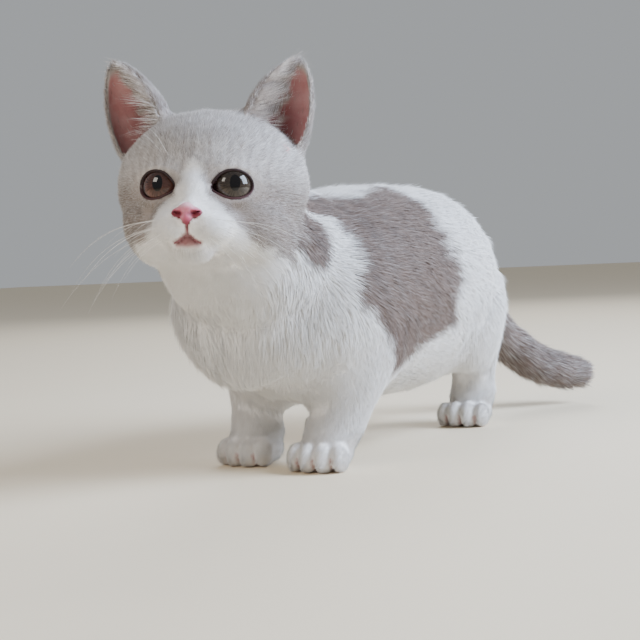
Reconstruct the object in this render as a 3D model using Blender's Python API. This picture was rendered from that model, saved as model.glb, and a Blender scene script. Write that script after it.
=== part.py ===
"""Munchkin kitten, life size, standing with its head turned a little to its left and raised.

Metres, +Z up. The kitten faces -Y and its left side is +X. While it is modelled, y = 0 is the line of its
left front toes and z = 0 is the floor; set_origin then moves the whole to the middle of its bounding box, on
the floor.
The solids reach the outer surface of the short, dense coat.
"""

import math

import bmesh
import bpy
from mathutils import Matrix, Vector
from mathutils.bvhtree import BVHTree

MM = 0.001
GAP = 0.3 * MM  # left between neighbouring solids

# Driving sizes of the body
TORSO_TOP = 116 * MM  # highest point of the back
BELLY_CLEARANCE = 20 * MM
TORSO_HALF_WIDTH = 44 * MM
CHEST_FRONT_Y = -19 * MM
RUMP_BACK_Y = 163 * MM
CHEST_X = -0.5 * MM  # the trunk stands a little askew over the paws
RUMP_X = 2.5 * MM

# The head: its own frame has x to the kitten's left, -y out of the face, z up, and its middle as the origin
HEAD_CENTRE = Vector((-3.4, -29.6, 107)) * MM
HEAD_YAW = math.radians(22.5)
HEAD_PITCH = math.radians(-8)
HEAD_ROLL = math.radians(2.7)
HEAD_HALF_WIDTH = 36.8 * MM
EYE_X = 12.0 * MM
EYE_Y = -21.2 * MM
EYE_RADIUS = 8.4 * MM
EYE_OUTWARD = math.radians(18)  # each eye looks this much outward
LID_THICKNESS = 1.3 * MM
LID_HALF_WIDTH = 7.1 * MM
LID_HALF_HEIGHT = 5.6 * MM
INNER_CORNER = (-5.2, -1.5, 3.1, 2.3)  # x and z of its middle, half width and half height
NOSE_TIP_Y = -39.6 * MM
NOSE_Z = -10.8 * MM
MOUTH_Z = -18.8 * MM
MOUTH_HALF_WIDTH = 4.8 * MM
MOUTH_DROP = 3.0 * MM
MOUTH_GROOVE_RADIUS = 0.75 * MM

# Ears
EAR_LENGTH_STEPS = 12
EAR_ROUND_STEPS = 16
EAR_THICKNESS = 1.7 * MM
EAR_SPREAD_AT_BASE = 128  # degrees from the middle of its back to its rim
EAR_SPREAD_AT_TIP = 84

# Paws
PAW_LENGTH = 27 * MM
PAW_WIDTH = 25 * MM
PAW_HEIGHT = 15 * MM
ANKLE_Z = 15.5 * MM

FINE_VOXEL = 1.25 * MM
BODY_TRIANGLES = 5000
HEAD_TRIANGLES = 2500
PAW_TRIANGLES = 500
EAR_TRIANGLES = 780

COATS = {  # colour, roughness
    "grey_coat": ((0.40, 0.34, 0.31, 1.0), 0.9),
    "white_coat": ((0.86, 0.84, 0.82, 1.0), 0.9),
    "nose_leather": ((0.72, 0.30, 0.31, 1.0), 0.5),
    "eye": ((0.10, 0.06, 0.04, 1.0), 0.05),
}


def clear_scene():
    for obj in list(bpy.data.objects):
        bpy.data.objects.remove(obj, do_unlink=True)


def material(name):
    found = bpy.data.materials.get(name)
    if found:
        return found
    colour, roughness = COATS[name]
    made = bpy.data.materials.new(name)
    made.use_nodes = True
    shader = made.node_tree.nodes["Principled BSDF"]
    shader.inputs["Base Color"].default_value = colour
    shader.inputs["Roughness"].default_value = roughness
    shader.inputs["Metallic"].default_value = 0.0
    return made


def object_of(name, shape):
    """A new object of this bmesh, which is used up."""
    mesh = bpy.data.meshes.new(name)
    shape.to_mesh(mesh)
    shape.free()
    made = bpy.data.objects.new(name, mesh)
    bpy.context.scene.collection.objects.link(made)
    return made


def copy_of(obj, name):
    made = bpy.data.objects.new(name, obj.data.copy())
    bpy.context.scene.collection.objects.link(made)
    return made


def apply_modifiers(obj):
    graph = bpy.context.evaluated_depsgraph_get()
    mesh = bpy.data.meshes.new_from_object(obj.evaluated_get(graph))
    obj.modifiers.clear()
    obj.data = mesh


def remove(*objects):
    for obj in objects:
        bpy.data.objects.remove(obj, do_unlink=True)


def add_ellipsoid(shape, centre, radii, frame=Matrix.Identity(4), turn=None, segments=28):
    """Centre and radii in millimetres of the given frame. turn rotates the ellipsoid about its centre."""
    place = Matrix.Translation(Vector(centre) * MM) @ (turn or Matrix.Identity(4))
    size = Matrix.Diagonal(Vector((*(r * MM for r in radii), 1)))
    bmesh.ops.create_uvsphere(
        shape, u_segments=segments, v_segments=segments * 2 // 3, radius=1, matrix=frame @ place @ size
    )


def between(stations, share):
    """The station at this share, from 0 to 1, on the smooth curve through all of them."""
    spans = len(stations) - 1
    at = min(share * spans, spans - 1e-9)
    i = int(at)
    t = at - i
    a, b, c, d = (stations[max(0, min(spans, k))] for k in (i - 1, i, i + 1, i + 2))
    return [
        0.5 * (2 * q + (r - p) * t + (2 * p - 5 * q + 4 * r - s) * t * t + (3 * q - p - 3 * r + s) * t**3)
        for p, q, r, s in zip(a, b, c, d)
    ]


def rounded_end(section, angle, bulge):
    centre, tangent, wide, high = section
    reach = min(wide, high) * bulge
    narrowed = math.cos(angle)
    return centre + tangent * reach * math.sin(angle), tangent, wide * narrowed, high * narrowed


def add_loft(shape, stations, rings=24, sides=32, bulge=1.0):
    """A closed tube through stations of (x, y, z, half width, half height) in millimetres.

    Its ends are rounded off; bulge is their height as a share of the end's smaller half size.
    """
    curve = [between(stations, i / (rings - 1)) for i in range(rings)]
    centres = [Vector(c[:3]) for c in curve]
    tangents = [
        (centres[min(i + 1, rings - 1)] - centres[max(i - 1, 0)]).normalized() for i in range(rings)
    ]
    profile = [(centres[i], tangents[i], curve[i][3], curve[i][4]) for i in range(rings)]
    slope = [math.radians(a) for a in (78, 55, 28)]
    starting = [rounded_end(profile[0], a, -bulge) for a in slope]
    ending = [rounded_end(profile[-1], a, bulge) for a in reversed(slope)]
    profile = starting + profile + ending
    loops = []
    for centre, tangent, wide, high in profile:
        side = (Vector((1, 0, 0)) - tangent * tangent.x).normalized()
        up = side.cross(tangent)
        ring = []
        for k in range(sides):
            angle = 2 * math.pi * k / sides
            point = centre + side * wide * math.cos(angle) + up * high * math.sin(angle)
            ring.append(shape.verts.new(point * MM))
        loops.append(ring)
    for first, second in zip(loops, loops[1:]):
        for k in range(sides):
            following = (k + 1) % sides
            shape.faces.new((first[k], second[k], second[following], first[following]))
    shape.faces.new(loops[0])
    shape.faces.new(reversed(loops[-1]))


def fuse(name, shape, voxel, smoothing):
    """One closed skin round all the overlapping bodies in the bmesh, with its creases softened."""
    bmesh.ops.recalc_face_normals(shape, faces=shape.faces)
    obj = object_of(name, shape)
    remesh = obj.modifiers.new("Remesh", "REMESH")
    remesh.mode = "VOXEL"
    remesh.voxel_size = voxel
    if smoothing:
        smooth = obj.modifiers.new("Smooth", "SMOOTH")
        smooth.factor = 0.5
        smooth.iterations = smoothing
    apply_modifiers(obj)
    return obj


def decimate(obj, triangles):
    now = sum(len(face.vertices) - 2 for face in obj.data.polygons)
    if now > triangles:
        modifier = obj.modifiers.new("Decimate", "DECIMATE")
        modifier.ratio = triangles / now
        modifier.use_collapse_triangulate = True
        apply_modifiers(obj)
    return obj


def cut(obj, point, normal):
    """Keeps what lies behind the plane, and closes the cut with a flat face."""
    shape = bmesh.new()
    shape.from_mesh(obj.data)
    result = bmesh.ops.bisect_plane(
        shape,
        geom=[*shape.verts, *shape.edges, *shape.faces],
        plane_co=point,
        plane_no=normal,
        clear_outer=True,
        dist=1e-6,
    )
    rim = [e for e in result["geom_cut"] if isinstance(e, bmesh.types.BMEdge) and e.is_boundary]
    bmesh.ops.triangle_fill(shape, edges=rim, use_beauty=True)
    bmesh.ops.recalc_face_normals(shape, faces=shape.faces)
    shape.to_mesh(obj.data)
    shape.free()
    return obj


def keep_largest(obj):
    """Drops all but the largest closed surface of the mesh."""
    shape = bmesh.new()
    shape.from_mesh(obj.data)
    left = set(shape.verts)
    islands = []
    while left:
        start = left.pop()
        island = {start}
        front = [start]
        while front:
            vert = front.pop()
            for edge in vert.link_edges:
                other = edge.other_vert(vert)
                if other in left:
                    left.discard(other)
                    island.add(other)
                    front.append(other)
        islands.append(island)
    islands.sort(key=len)
    for island in islands[:-1]:
        bmesh.ops.delete(shape, geom=list(island), context="VERTS")
    shape.to_mesh(obj.data)
    shape.free()


def finish(obj, coat):
    """The last step of each named part: one closed body, in its material."""
    keep_largest(obj)
    obj.data.materials.append(material(coat))


def boolean(obj, tool, operation):
    """Applies the operation and removes the tool."""
    modifier = obj.modifiers.new("Boolean", "BOOLEAN")
    modifier.operation = operation
    modifier.solver = "EXACT"
    modifier.object = tool
    apply_modifiers(obj)
    remove(tool)
    return obj


def grown(obj, name, by):
    """A copy whose surface lies this far outside, as a cutter that leaves a gap."""
    made = copy_of(obj, name)
    made.data.calc_loop_triangles()
    normals = [vertex.normal.copy() for vertex in made.data.vertices]
    for vertex, normal in zip(made.data.vertices, normals):
        vertex.co += normal * by
    return made


def block(name, outline, low_y, high_y):
    """A prism along y whose outline is points of (x, z) in millimetres."""
    shape = bmesh.new()
    front = [shape.verts.new((x * MM, low_y * MM, z * MM)) for x, z in outline]
    base = shape.faces.new(front)
    moved = bmesh.ops.extrude_face_region(shape, geom=[base])["geom"]
    verts = [v for v in moved if isinstance(v, bmesh.types.BMVert)]
    bmesh.ops.translate(shape, verts=verts, vec=(0, (high_y - low_y) * MM, 0))
    bmesh.ops.recalc_face_normals(shape, faces=shape.faces)
    return object_of(name, shape)


def head_frame():
    turned = Matrix.Rotation(HEAD_YAW, 4, "Z") @ Matrix.Rotation(HEAD_PITCH, 4, "X")
    return Matrix.Translation(HEAD_CENTRE) @ turned @ Matrix.Rotation(HEAD_ROLL, 4, "Y")


def torso_stations():
    """(x, y, z, half width, half height) of the trunk from the breast to the rump."""
    top = TORSO_TOP / MM
    low = BELLY_CLEARANCE / MM
    wide = TORSO_HALF_WIDTH / MM
    middle = (top + low) / 2
    tall = (top - low) / 2
    front = CHEST_FRONT_Y / MM
    back = RUMP_BACK_Y / MM
    rows = [
        (front + 3, middle + 1, 0.42 * wide, 0.40 * tall),
        (front + 9, middle - 1, 0.70 * wide, 0.62 * tall),
        (front + 20, middle - 1, 0.89 * wide, 0.78 * tall),
        (front + 34, middle - 1, 0.98 * wide, 0.87 * tall),
        (front + 52, middle - 1, wide, 0.94 * tall),
        (front + 74, middle - 0.5, 0.985 * wide, 0.98 * tall),
        (front + 99, middle, 0.97 * wide, tall),
        (back - 62, middle, 0.965 * wide, tall),
        (back - 41, middle + 1, 0.935 * wide, 0.97 * tall),
        (back - 24, middle + 2, 0.84 * wide, 0.87 * tall),
        (back - 11, middle + 3, 0.66 * wide, 0.70 * tall),
        (back - 3, middle + 4, 0.42 * wide, 0.46 * tall),
    ]
    chest = CHEST_X / MM
    askew = (RUMP_X - CHEST_X) / (RUMP_BACK_Y - CHEST_FRONT_Y)
    return [(chest + askew * (y - front), y, z, half_width, half_height)
            for y, z, half_width, half_height in rows]


def add_neck(shape):
    """The neck with the full ruff of the breast below the chin."""
    add_loft(shape, NECK)
    add_ellipsoid(shape, (-7, -11, 67), (32, 18.5, 33))


# Each line runs through (x, y, z, half width, half height or depth) in millimetres
NECK = [(0, 36, 78, 36, 32), (-1, 14, 80, 35, 34), (-3, -8, 84, 34, 33), (-4.5, -22, 94, 31, 29)]
FORELEG_LEFT = [
    (28, 28, 62, 15.5, 20), (28, 26, 46, 14, 16), (23, 19, 29, 12.8, 13.5), (18, 13.5, 15, 11.5, 12)
]
FORELEG_RIGHT = [
    (-29, 30, 62, 15.5, 20), (-29, 30, 46, 14, 16), (-25, 25, 29, 12.4, 13.2), (-21, 19.5, 15, 11.3, 12)
]
HINDLEG_LEFT = [
    (26, 126, 66, 15.5, 32), (27, 131, 50, 15.5, 27), (20, 147, 33, 12.5, 15), (17.5, 150, 15, 11, 12)
]
HINDLEG_RIGHT = [
    (-24, 110, 66, 15.5, 34), (-26, 106, 50, 15.5, 28), (-27, 107, 33, 12.8, 16), (-26, 101, 15, 11, 12.5)
]
TAIL = [
    (2, 152, 84, 15, 15), (3, 169, 72, 12.5, 12.5), (6, 187, 53, 11.3, 11.5), (12, 203, 37, 10.8, 11),
    (23, 217, 24, 10.6, 10.8), (33, 228, 18.5, 10, 10), (40, 236, 16.5, 8.3, 8.5)
]

# Each paw's middle on the floor and the way it points, in degrees to the kitten's left
PAWS = {
    "forepaw_left": (16.5, 9, 8),
    "forepaw_right": (-20.5, 15, -3),
    "hindpaw_left": (17.5, 143, 4),
    "hindpaw_right": (-25.5, 92, -6),
}


def add_paw(shape, x, y, heading):
    """A paw of four toes round a broad pad. It runs a little below the floor, which then cuts it flat."""
    frame = Matrix.Translation(Vector((x, y, 0)) * MM) @ Matrix.Rotation(math.radians(heading), 4, "Z")
    length = PAW_LENGTH / MM
    wide = PAW_WIDTH / MM
    high = PAW_HEIGHT / MM
    add_ellipsoid(shape, (0, 2.5, 0.42 * high), (0.44 * wide, 0.40 * length, 0.52 * high), frame)
    toes = ((-0.355, 0.05, 0.92), (-0.125, 0.0, 1.0), (0.125, 0.0, 1.0), (0.355, 0.05, 0.92))
    for across, back, size in toes:
        centre = (across * wide, (back - 0.24) * length, 0.36 * high)
        radii = (0.152 * wide * size, 0.27 * length * size, 0.46 * high * size)
        lean = Matrix.Rotation(math.radians(16 * across), 4, "Z")
        add_ellipsoid(shape, centre, radii, frame, lean, segments=20)


def add_head(shape, frame):
    wide = HEAD_HALF_WIDTH / MM
    add_ellipsoid(shape, (0, 2, 4), (wide, 33, 30), frame, segments=48)
    add_ellipsoid(shape, (0, -13, 11), (26, 17, 17), frame)
    add_ellipsoid(shape, (0, -10, -15), (24, 22, 13.5), frame)
    add_ellipsoid(shape, (0, -24, -13.5), (16, 13, 10.5), frame)
    add_ellipsoid(shape, (0, -25, -4), (8.5, 11, 9.5), frame)
    add_ellipsoid(shape, (0, -31, -7), (6, 6, 5.5), frame)
    add_ellipsoid(shape, (0, -28, -23), (8.5, 8, 5.8), frame)
    for side in (-1, 1):
        shield = EYE_RADIUS / MM + 1.5
        add_ellipsoid(shape, (side * EYE_X / MM, EYE_Y / MM, 0), (shield, shield, shield), frame)
        add_ellipsoid(shape, (side * 16.8, -4, -9), (15.8, 20.5, 18.5), frame)
        add_ellipsoid(shape, (side * 6.1, -30.6, -15.8), (8, 7.6, 6.3), frame)


def whole_body(frame):
    shape = bmesh.new()
    add_loft(shape, torso_stations(), rings=48, sides=48, bulge=0.3)
    add_neck(shape)
    for line in (FORELEG_LEFT, FORELEG_RIGHT, HINDLEG_LEFT, HINDLEG_RIGHT):
        add_loft(shape, line)
    for place in PAWS.values():
        add_paw(shape, *place)
    add_head(shape, frame)
    return fuse("whole", shape, FINE_VOXEL, 5)


def ear_point(base, tip, back, share, angle, wide, deep):
    """A point of the ear's cup: share runs from its base to its tip and angle round it from the back."""
    axis = tip - base
    side = axis.cross(back).normalized()
    behind = side.cross(axis).normalized()
    taper = (1 - share**2.3) ** 0.72
    middle = base + axis * share
    return middle + (side * wide * math.sin(angle) + behind * deep * (math.cos(angle) - 0.35)) * taper


EARS = {  # base, tip, the way its back faces, half width, half depth, all in the head's frame
    "ear_left": ((20, 2, 20.5), (32, -1, 52.5), (-0.16, 0.86, 0.42), 12.8, 8.5),
    "ear_right": ((-23, 2, 21), (-40.5, -1, 52.5), (0.16, 0.86, 0.42), 12.8, 8.5),
}


def ear(name, frame):
    """A thin cup, open to the front and the side, that narrows to a rounded tip."""
    base, tip, back, wide, deep = EARS[name]
    base, tip = (frame @ (Vector(p) * MM) for p in (base, tip))
    back = frame.to_3x3() @ Vector(back)
    shape = bmesh.new()
    rows = []
    for i in range(EAR_LENGTH_STEPS + 1):
        share = i / EAR_LENGTH_STEPS * 0.98
        spread = math.radians(EAR_SPREAD_AT_BASE + (EAR_SPREAD_AT_TIP - EAR_SPREAD_AT_BASE) * share)
        row = []
        for k in range(EAR_ROUND_STEPS + 1):
            angle = spread * (2 * k / EAR_ROUND_STEPS - 1)
            row.append(shape.verts.new(ear_point(base, tip, back, share, angle, wide * MM, deep * MM)))
        rows.append(row)
    for low, high in zip(rows, rows[1:]):
        for k in range(EAR_ROUND_STEPS):
            shape.faces.new((low[k], low[k + 1], high[k + 1], high[k]))
    obj = object_of(name, shape)
    wall = obj.modifiers.new("Solidify", "SOLIDIFY")
    wall.thickness = EAR_THICKNESS
    wall.offset = 0
    wall.use_even_offset = False
    remesh = obj.modifiers.new("Remesh", "REMESH")
    remesh.mode = "VOXEL"
    remesh.voxel_size = 0.8 * MM
    smooth = obj.modifiers.new("Smooth", "SMOOTH")
    smooth.iterations = 3
    apply_modifiers(obj)
    return decimate(obj, EAR_TRIANGLES)


def eye_frame(frame, side):
    centre = Matrix.Translation((side * EYE_X, EYE_Y, 0))
    return frame @ centre @ Matrix.Rotation(side * EYE_OUTWARD, 4, "Z")


def eye(name, frame):
    shape = bmesh.new()
    bmesh.ops.create_uvsphere(shape, u_segments=22, v_segments=12, radius=EYE_RADIUS, matrix=frame)
    return object_of(name, shape)


def lid_opening(frame, side):
    """What is cut out in front of an eyeball: a round opening drawn out to the inner corner."""
    shape = bmesh.new()
    round_part = (0.3 * MM, 0, LID_HALF_WIDTH, LID_HALF_HEIGHT)
    for x, z, wide, high in (round_part, [size * MM for size in INNER_CORNER]):
        along = Matrix.Translation((side * x, -10 * MM, z)) @ Matrix.Rotation(math.pi / 2, 4, "X")
        place = frame @ along @ Matrix.Diagonal((wide, high, 1, 1))
        bmesh.ops.create_cone(
            shape, cap_ends=True, segments=28, radius1=1, radius2=1, depth=20 * MM, matrix=place
        )
    return fuse("lid_opening", shape, 0.6 * MM, 1)


def open_eyes(head, frame):
    """Adds the lids round each eyeball, hollows its socket and opens the lids."""
    for side in (-1, 1):
        place = eye_frame(frame, side)
        shape = bmesh.new()
        outside = EYE_RADIUS + GAP + LID_THICKNESS
        bmesh.ops.create_icosphere(shape, subdivisions=3, radius=outside, matrix=place)
        head = boolean(head, object_of("lids", shape), "UNION")
        shape = bmesh.new()
        inside = EYE_RADIUS + GAP * 1.7
        bmesh.ops.create_uvsphere(shape, u_segments=24, v_segments=14, radius=inside, matrix=place)
        boolean(head, object_of("socket", shape), "DIFFERENCE")
        opening = lid_opening(place, side)
        decimate(opening, 260)
        boolean(head, opening, "DIFFERENCE")
    return head


def mouth_cutter(head, frame):
    """A thin round bar laid on the muzzle along the philtrum and the two sides of the mouth."""
    surface = BVHTree.FromObject(head, bpy.context.evaluated_depsgraph_get())
    forward = frame.to_3x3() @ Vector((0, -1, 0))

    def on_muzzle(x, z):
        start = frame @ Vector((x, -70 * MM, z))
        hit = surface.ray_cast(start, -forward)[0]
        return hit

    lines = [[(0, NOSE_Z - 2 * MM + (MOUTH_Z - NOSE_Z + 2 * MM) * k / 4) for k in range(5)]]
    for side in (-1, 1):
        line = []
        for k in range(8):
            t = k / 7
            line.append((side * MOUTH_HALF_WIDTH * t, MOUTH_Z - MOUTH_DROP * math.sin(t * math.pi / 2)))
        lines.append(line)
    shape = bmesh.new()
    for line in lines:
        points = [on_muzzle(x, z) for x, z in line]
        radius = MOUTH_GROOVE_RADIUS / MM
        stations = [(*(p / MM), radius, radius) for p in points if p]
        add_loft(shape, stations, rings=12, sides=8)
    return fuse("mouth_line", shape, 0.4 * MM, 1)


def nose(frame):
    """The leather: a broad top, two wings round the nostrils and a narrow foot on the philtrum."""
    middle_y = NOSE_TIP_Y / MM + 4.5
    middle_z = NOSE_Z / MM
    shape = bmesh.new()
    add_ellipsoid(shape, (0, middle_y, middle_z + 0.5), (4.4, 4.4, 2.6), frame)
    add_ellipsoid(shape, (0, middle_y - 0.2, middle_z - 2.0), (2.2, 3.8, 3.0), frame)
    for side in (-1, 1):
        add_ellipsoid(shape, (side * 3.5, middle_y + 0.6, middle_z - 0.4), (2.3, 3.8, 2.1), frame)
    obj = fuse("nose", shape, 0.5 * MM, 2)
    decimate(obj, 420)
    for side in (-1, 1):
        shape = bmesh.new()
        hole = (side * 2.5, middle_y - 3.9, middle_z - 0.9)
        turn = Matrix.Rotation(math.radians(side * 22), 4, "Y")
        add_ellipsoid(shape, hole, (1.3, 2.2, 0.9), frame, turn, segments=12)
        end = (side * 4.2, middle_y - 3.0, middle_z - 0.5)
        turn = Matrix.Rotation(math.radians(side * -12), 4, "Y")
        add_ellipsoid(shape, end, (1.7, 2.0, 0.42), frame, turn, segments=12)
        cutter = fuse("nostril", shape, 0.25 * MM, 1)
        decimate(cutter, 160)
        boolean(obj, cutter, "DIFFERENCE")
    return obj


# Planes that part the trunk: a point on it and its normal, which points to the head or the tail
HEAD_CUT = (Vector((-8, -14, 93)) * MM, Vector((-0.10, -0.80, 0.60)).normalized())
NECK_CUT = (Vector((-5, 9, 86)) * MM, Vector((-0.08, -0.84, 0.54)).normalized())
TAIL_CUTS = (
    (Vector((9, 195.5, 44)) * MM, Vector((0.25, 0.66, -0.70)).normalized()),
    (Vector((23, 217, 24)) * MM, Vector((0.58, 0.66, -0.46)).normalized()),
)
LEG_BLOCKS = {  # outline in x and z on the left side, and its reach in y
    "foreleg_left": ([(2, -5), (2, 22), (12, 31), (52, 66), (70, 66), (70, -5)], -28, 47),
    "foreleg_right": ([(-2, -5), (-2, 22), (-14, 31), (-54, 66), (-70, 66), (-70, -5)], -28, 51),
    "hindleg_left": ([(2, -5), (2, 22), (12, 30), (52, 76), (70, 76), (70, -5)], 96, 190),
    "hindleg_right": ([(-2, -5), (-2, 22), (-12, 30), (-52, 76), (-70, 76), (-70, -5)], 70, 190),
}


def shifted(plane, by):
    point, normal = plane
    return point + normal * by, normal


def reversed_plane(plane):
    point, normal = plane
    return point, -normal


def cut_between(source, name, start, end):
    """The stretch of the body from the start plane to the end plane, whose normals both point along it."""
    obj = copy_of(source, name)
    if start:
        cut(obj, *reversed_plane(start))
    if end:
        cut(obj, *shifted(end, -GAP))
    return obj


def legs(body, fine):
    """Parts each leg from the trunk by its block, and each paw from its leg at the ankle."""
    floor = (Vector((0, 0, 0)), Vector((0, 0, -1)))
    ankle = (Vector((0, 0, ANKLE_Z)), Vector((0, 0, 1)))
    for name, (outline, low_y, high_y) in LEG_BLOCKS.items():
        leg = copy_of(body, name)
        boolean(leg, block("block", outline, low_y, high_y), "INTERSECT")
        cut(leg, *shifted(reversed_plane(ankle), -GAP))
        paw = copy_of(fine, name.replace("leg", "paw"))
        cut(paw, *shifted(ankle, 4 * MM))
        boolean(paw, block("block", outline, low_y, high_y), "INTERSECT")
        decimate(paw, PAW_TRIANGLES)
        cut(paw, *floor)
        cut(paw, *ankle)
        finish(leg, "white_coat")
        finish(paw, "white_coat")


def torso(body):
    obj = copy_of(body, "torso")
    cut(obj, *shifted(NECK_CUT, -GAP))
    for outline, low_y, high_y in LEG_BLOCKS.values():
        cutter = block("block", outline, low_y, high_y)
        boolean(obj, grown(cutter, "grown_block", 1.7 * GAP), "DIFFERENCE")
        remove(cutter)
    finish(obj, "white_coat")


def head(fine, frame):
    obj = copy_of(fine, "head")
    cut(obj, *reversed_plane(shifted(HEAD_CUT, -6 * MM)))
    decimate(obj, HEAD_TRIANGLES)
    open_eyes(obj, frame)
    leather = nose(frame)
    boolean(obj, grown(leather, "nose_recess", GAP * 1.3), "DIFFERENCE")
    groove = mouth_cutter(obj, frame)
    decimate(groove, 520)
    boolean(obj, groove, "DIFFERENCE")
    cut(obj, *reversed_plane(HEAD_CUT))
    finish(obj, "grey_coat")
    finish(leather, "nose_leather")
    for name in EARS:
        cup = ear(name, frame)
        boolean(cup, grown(obj, "head_grown", GAP * 1.4), "DIFFERENCE")
        finish(cup, "grey_coat")
    for name, side in (("eye_left", 1), ("eye_right", -1)):
        ball = eye(name, eye_frame(frame, side))
        finish(ball, "eye")


def neck(body):
    finish(cut_between(body, "neck", NECK_CUT, HEAD_CUT), "white_coat")


def tail(body):
    """The tail grows out of the rump and is parted into three lengths."""
    shape = bmesh.new()
    add_loft(shape, TAIL, rings=30, sides=24)
    whole = object_of("tail", shape)
    boolean(whole, grown(body, "rump_grown", 1.3 * GAP), "DIFFERENCE")
    starts, ends = (None, *TAIL_CUTS), (*TAIL_CUTS, None)
    for name, start, end in zip(("tail_root", "tail_middle", "tail_tip"), starts, ends):
        finish(cut_between(whole, name, start, end), "grey_coat")
    remove(whole)


def set_origin():
    """Moves everything so that the middle of the bounding box's floor is the origin."""
    parts = [obj for obj in bpy.data.objects if obj.type == "MESH"]
    points = [vertex.co for obj in parts for vertex in obj.data.vertices]
    low = Vector(min(p[i] for p in points) for i in range(3))
    high = Vector(max(p[i] for p in points) for i in range(3))
    shift = Vector((-(low.x + high.x) / 2, -(low.y + high.y) / 2, -low.z))
    for obj in parts:
        for vertex in obj.data.vertices:
            vertex.co += shift
        obj.data.shade_smooth()
        obj.data.set_sharp_from_angle(angle=math.radians(50))


def main():
    clear_scene()
    frame = head_frame()
    fine = whole_body(frame)
    body = decimate(copy_of(fine, "body"), BODY_TRIANGLES)
    head(fine, frame)
    neck(body)
    torso(body)
    legs(body, fine)
    tail(body)
    remove(fine, body)
    set_origin()


main()
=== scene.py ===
"""Dresses a munchkin kitten: one skin, its coat in solid tufts, eyes, lids, nose, mouth and whiskers."""

import math

import bmesh
import bpy
import numpy as np
from mathutils import Matrix, Vector
from mathutils.bvhtree import BVHTree
from mathutils.kdtree import KDTree


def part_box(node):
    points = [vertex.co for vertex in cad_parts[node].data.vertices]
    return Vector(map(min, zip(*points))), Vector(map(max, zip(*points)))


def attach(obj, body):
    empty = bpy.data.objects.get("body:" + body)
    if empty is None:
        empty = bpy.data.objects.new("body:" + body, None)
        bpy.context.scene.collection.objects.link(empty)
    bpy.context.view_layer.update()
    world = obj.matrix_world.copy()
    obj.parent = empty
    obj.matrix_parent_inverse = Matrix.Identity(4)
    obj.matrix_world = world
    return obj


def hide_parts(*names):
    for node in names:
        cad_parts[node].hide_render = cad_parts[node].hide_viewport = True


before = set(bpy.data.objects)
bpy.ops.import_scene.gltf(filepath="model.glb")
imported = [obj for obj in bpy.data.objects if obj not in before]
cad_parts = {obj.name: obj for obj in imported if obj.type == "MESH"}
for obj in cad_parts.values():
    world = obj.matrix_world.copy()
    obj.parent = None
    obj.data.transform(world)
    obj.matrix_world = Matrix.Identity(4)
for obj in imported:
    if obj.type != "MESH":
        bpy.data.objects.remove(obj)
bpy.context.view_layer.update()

bl_info = {
    "name": "Munchkin kitten",
    "version": (1, 0, 0),
    "blender": (4, 5, 0),
    "location": "3D View > Sidebar > Kitten",
    "description": "Skin, coat, eyes and whiskers of a standing munchkin kitten",
    "category": "Object",
}

MM = 0.001
FLESH = [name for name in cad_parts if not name.startswith(("eye", "nose"))]

# Body millimetres: x to the kitten's left, y backward from the toes of its left forepaw, z up from the floor.
# The head's own millimetres: x to its left, y backward, z up, from the middle of the skull.
HEAD_CENTRE = Vector((-3.4, -29.6, 107))
HEAD_TURN = (
    Matrix.Rotation(math.radians(22.5), 3, "Z")
    @ Matrix.Rotation(math.radians(-8), 3, "X")
    @ Matrix.Rotation(math.radians(2.7), 3, "Y")
)
EYE_PLACE = Vector((12.0, -21.2, 0))
EYE_RADIUS = 8.4
EYE_OUTWARD = math.radians(18)
EARS = {  # base, tip and the way the back of the ear faces, in the head's millimetres
    "ear_left": ((20, 2, 20.5), (32, -1, 52.5), (-0.16, 0.86, 0.42)),
    "ear_right": ((-23, 2, 21), (-40.5, -1, 52.5), (0.16, 0.86, 0.42)),
}
FOLD = (28.8, -8.8, 16.2)  # the small bare fold in front of each ear's opening
FOLD_SIZE = (1.9, 1.9, 2.7)
NOSE_ROOT = (0, -41, -9)  # the coat of the face grows away from here
EAR_HALF_WIDTH = 12.8
EAR_HALF_DEPTH = 8.5
CUP_SHIFT = 0.35  # how far the middle of the ear's cup lies from its axis, in half depths
TAIL_LINE = [
    (2, 152, 84), (3, 169, 72), (6, 187, 53), (12, 203, 37), (23, 217, 24), (33, 228, 18.5), (45, 242, 16)
]
PAWS = {  # middle of each paw on the floor and its heading in degrees
    "forepaw_left": (16.5, 9, 8),
    "forepaw_right": (-20.5, 15, -3),
    "hindpaw_left": (17.5, 143, 4),
    "hindpaw_right": (-25.5, 92, -6),
}


def node_middle(name):
    low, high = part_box(name)
    return (Vector(low) + Vector(high)) / 2 / MM


# Body millimetres start here in the frame.
ORIGIN = node_middle("eye_left") - (HEAD_CENTRE + HEAD_TURN @ EYE_PLACE)


def body_points(points):
    """Frame metres to body millimetres, for an array of points."""
    return points / MM - np.array(ORIGIN)


def head_points(points):
    """Body millimetres to the head's own, for an array of points."""
    return (points - np.array(HEAD_CENTRE)) @ np.array(HEAD_TURN)


def from_head(point):
    """The head's millimetres to frame metres."""
    return (HEAD_CENTRE + HEAD_TURN @ Vector(point) + ORIGIN) * MM


def from_body(point):
    return (Vector(point) + ORIGIN) * MM


def eye_matrix(side):
    """Eyeball's frame in frame metres: -y looks out of the eye."""
    turn = HEAD_TURN @ Matrix.Rotation(side * EYE_OUTWARD, 3, "Z")
    place = EYE_PLACE.copy()
    place.x *= side
    return Matrix.Translation(from_head(place)) @ turn.to_4x4()


def step(low, high, value):
    """A smooth step from 0 at low to 1 at high. low may be the larger."""
    t = np.clip((value - low) / (high - low), 0, 1)
    return t * t * (3 - 2 * t)


def unit(vectors):
    return vectors / np.maximum(np.linalg.norm(vectors, axis=-1, keepdims=True), 1e-9)


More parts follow.
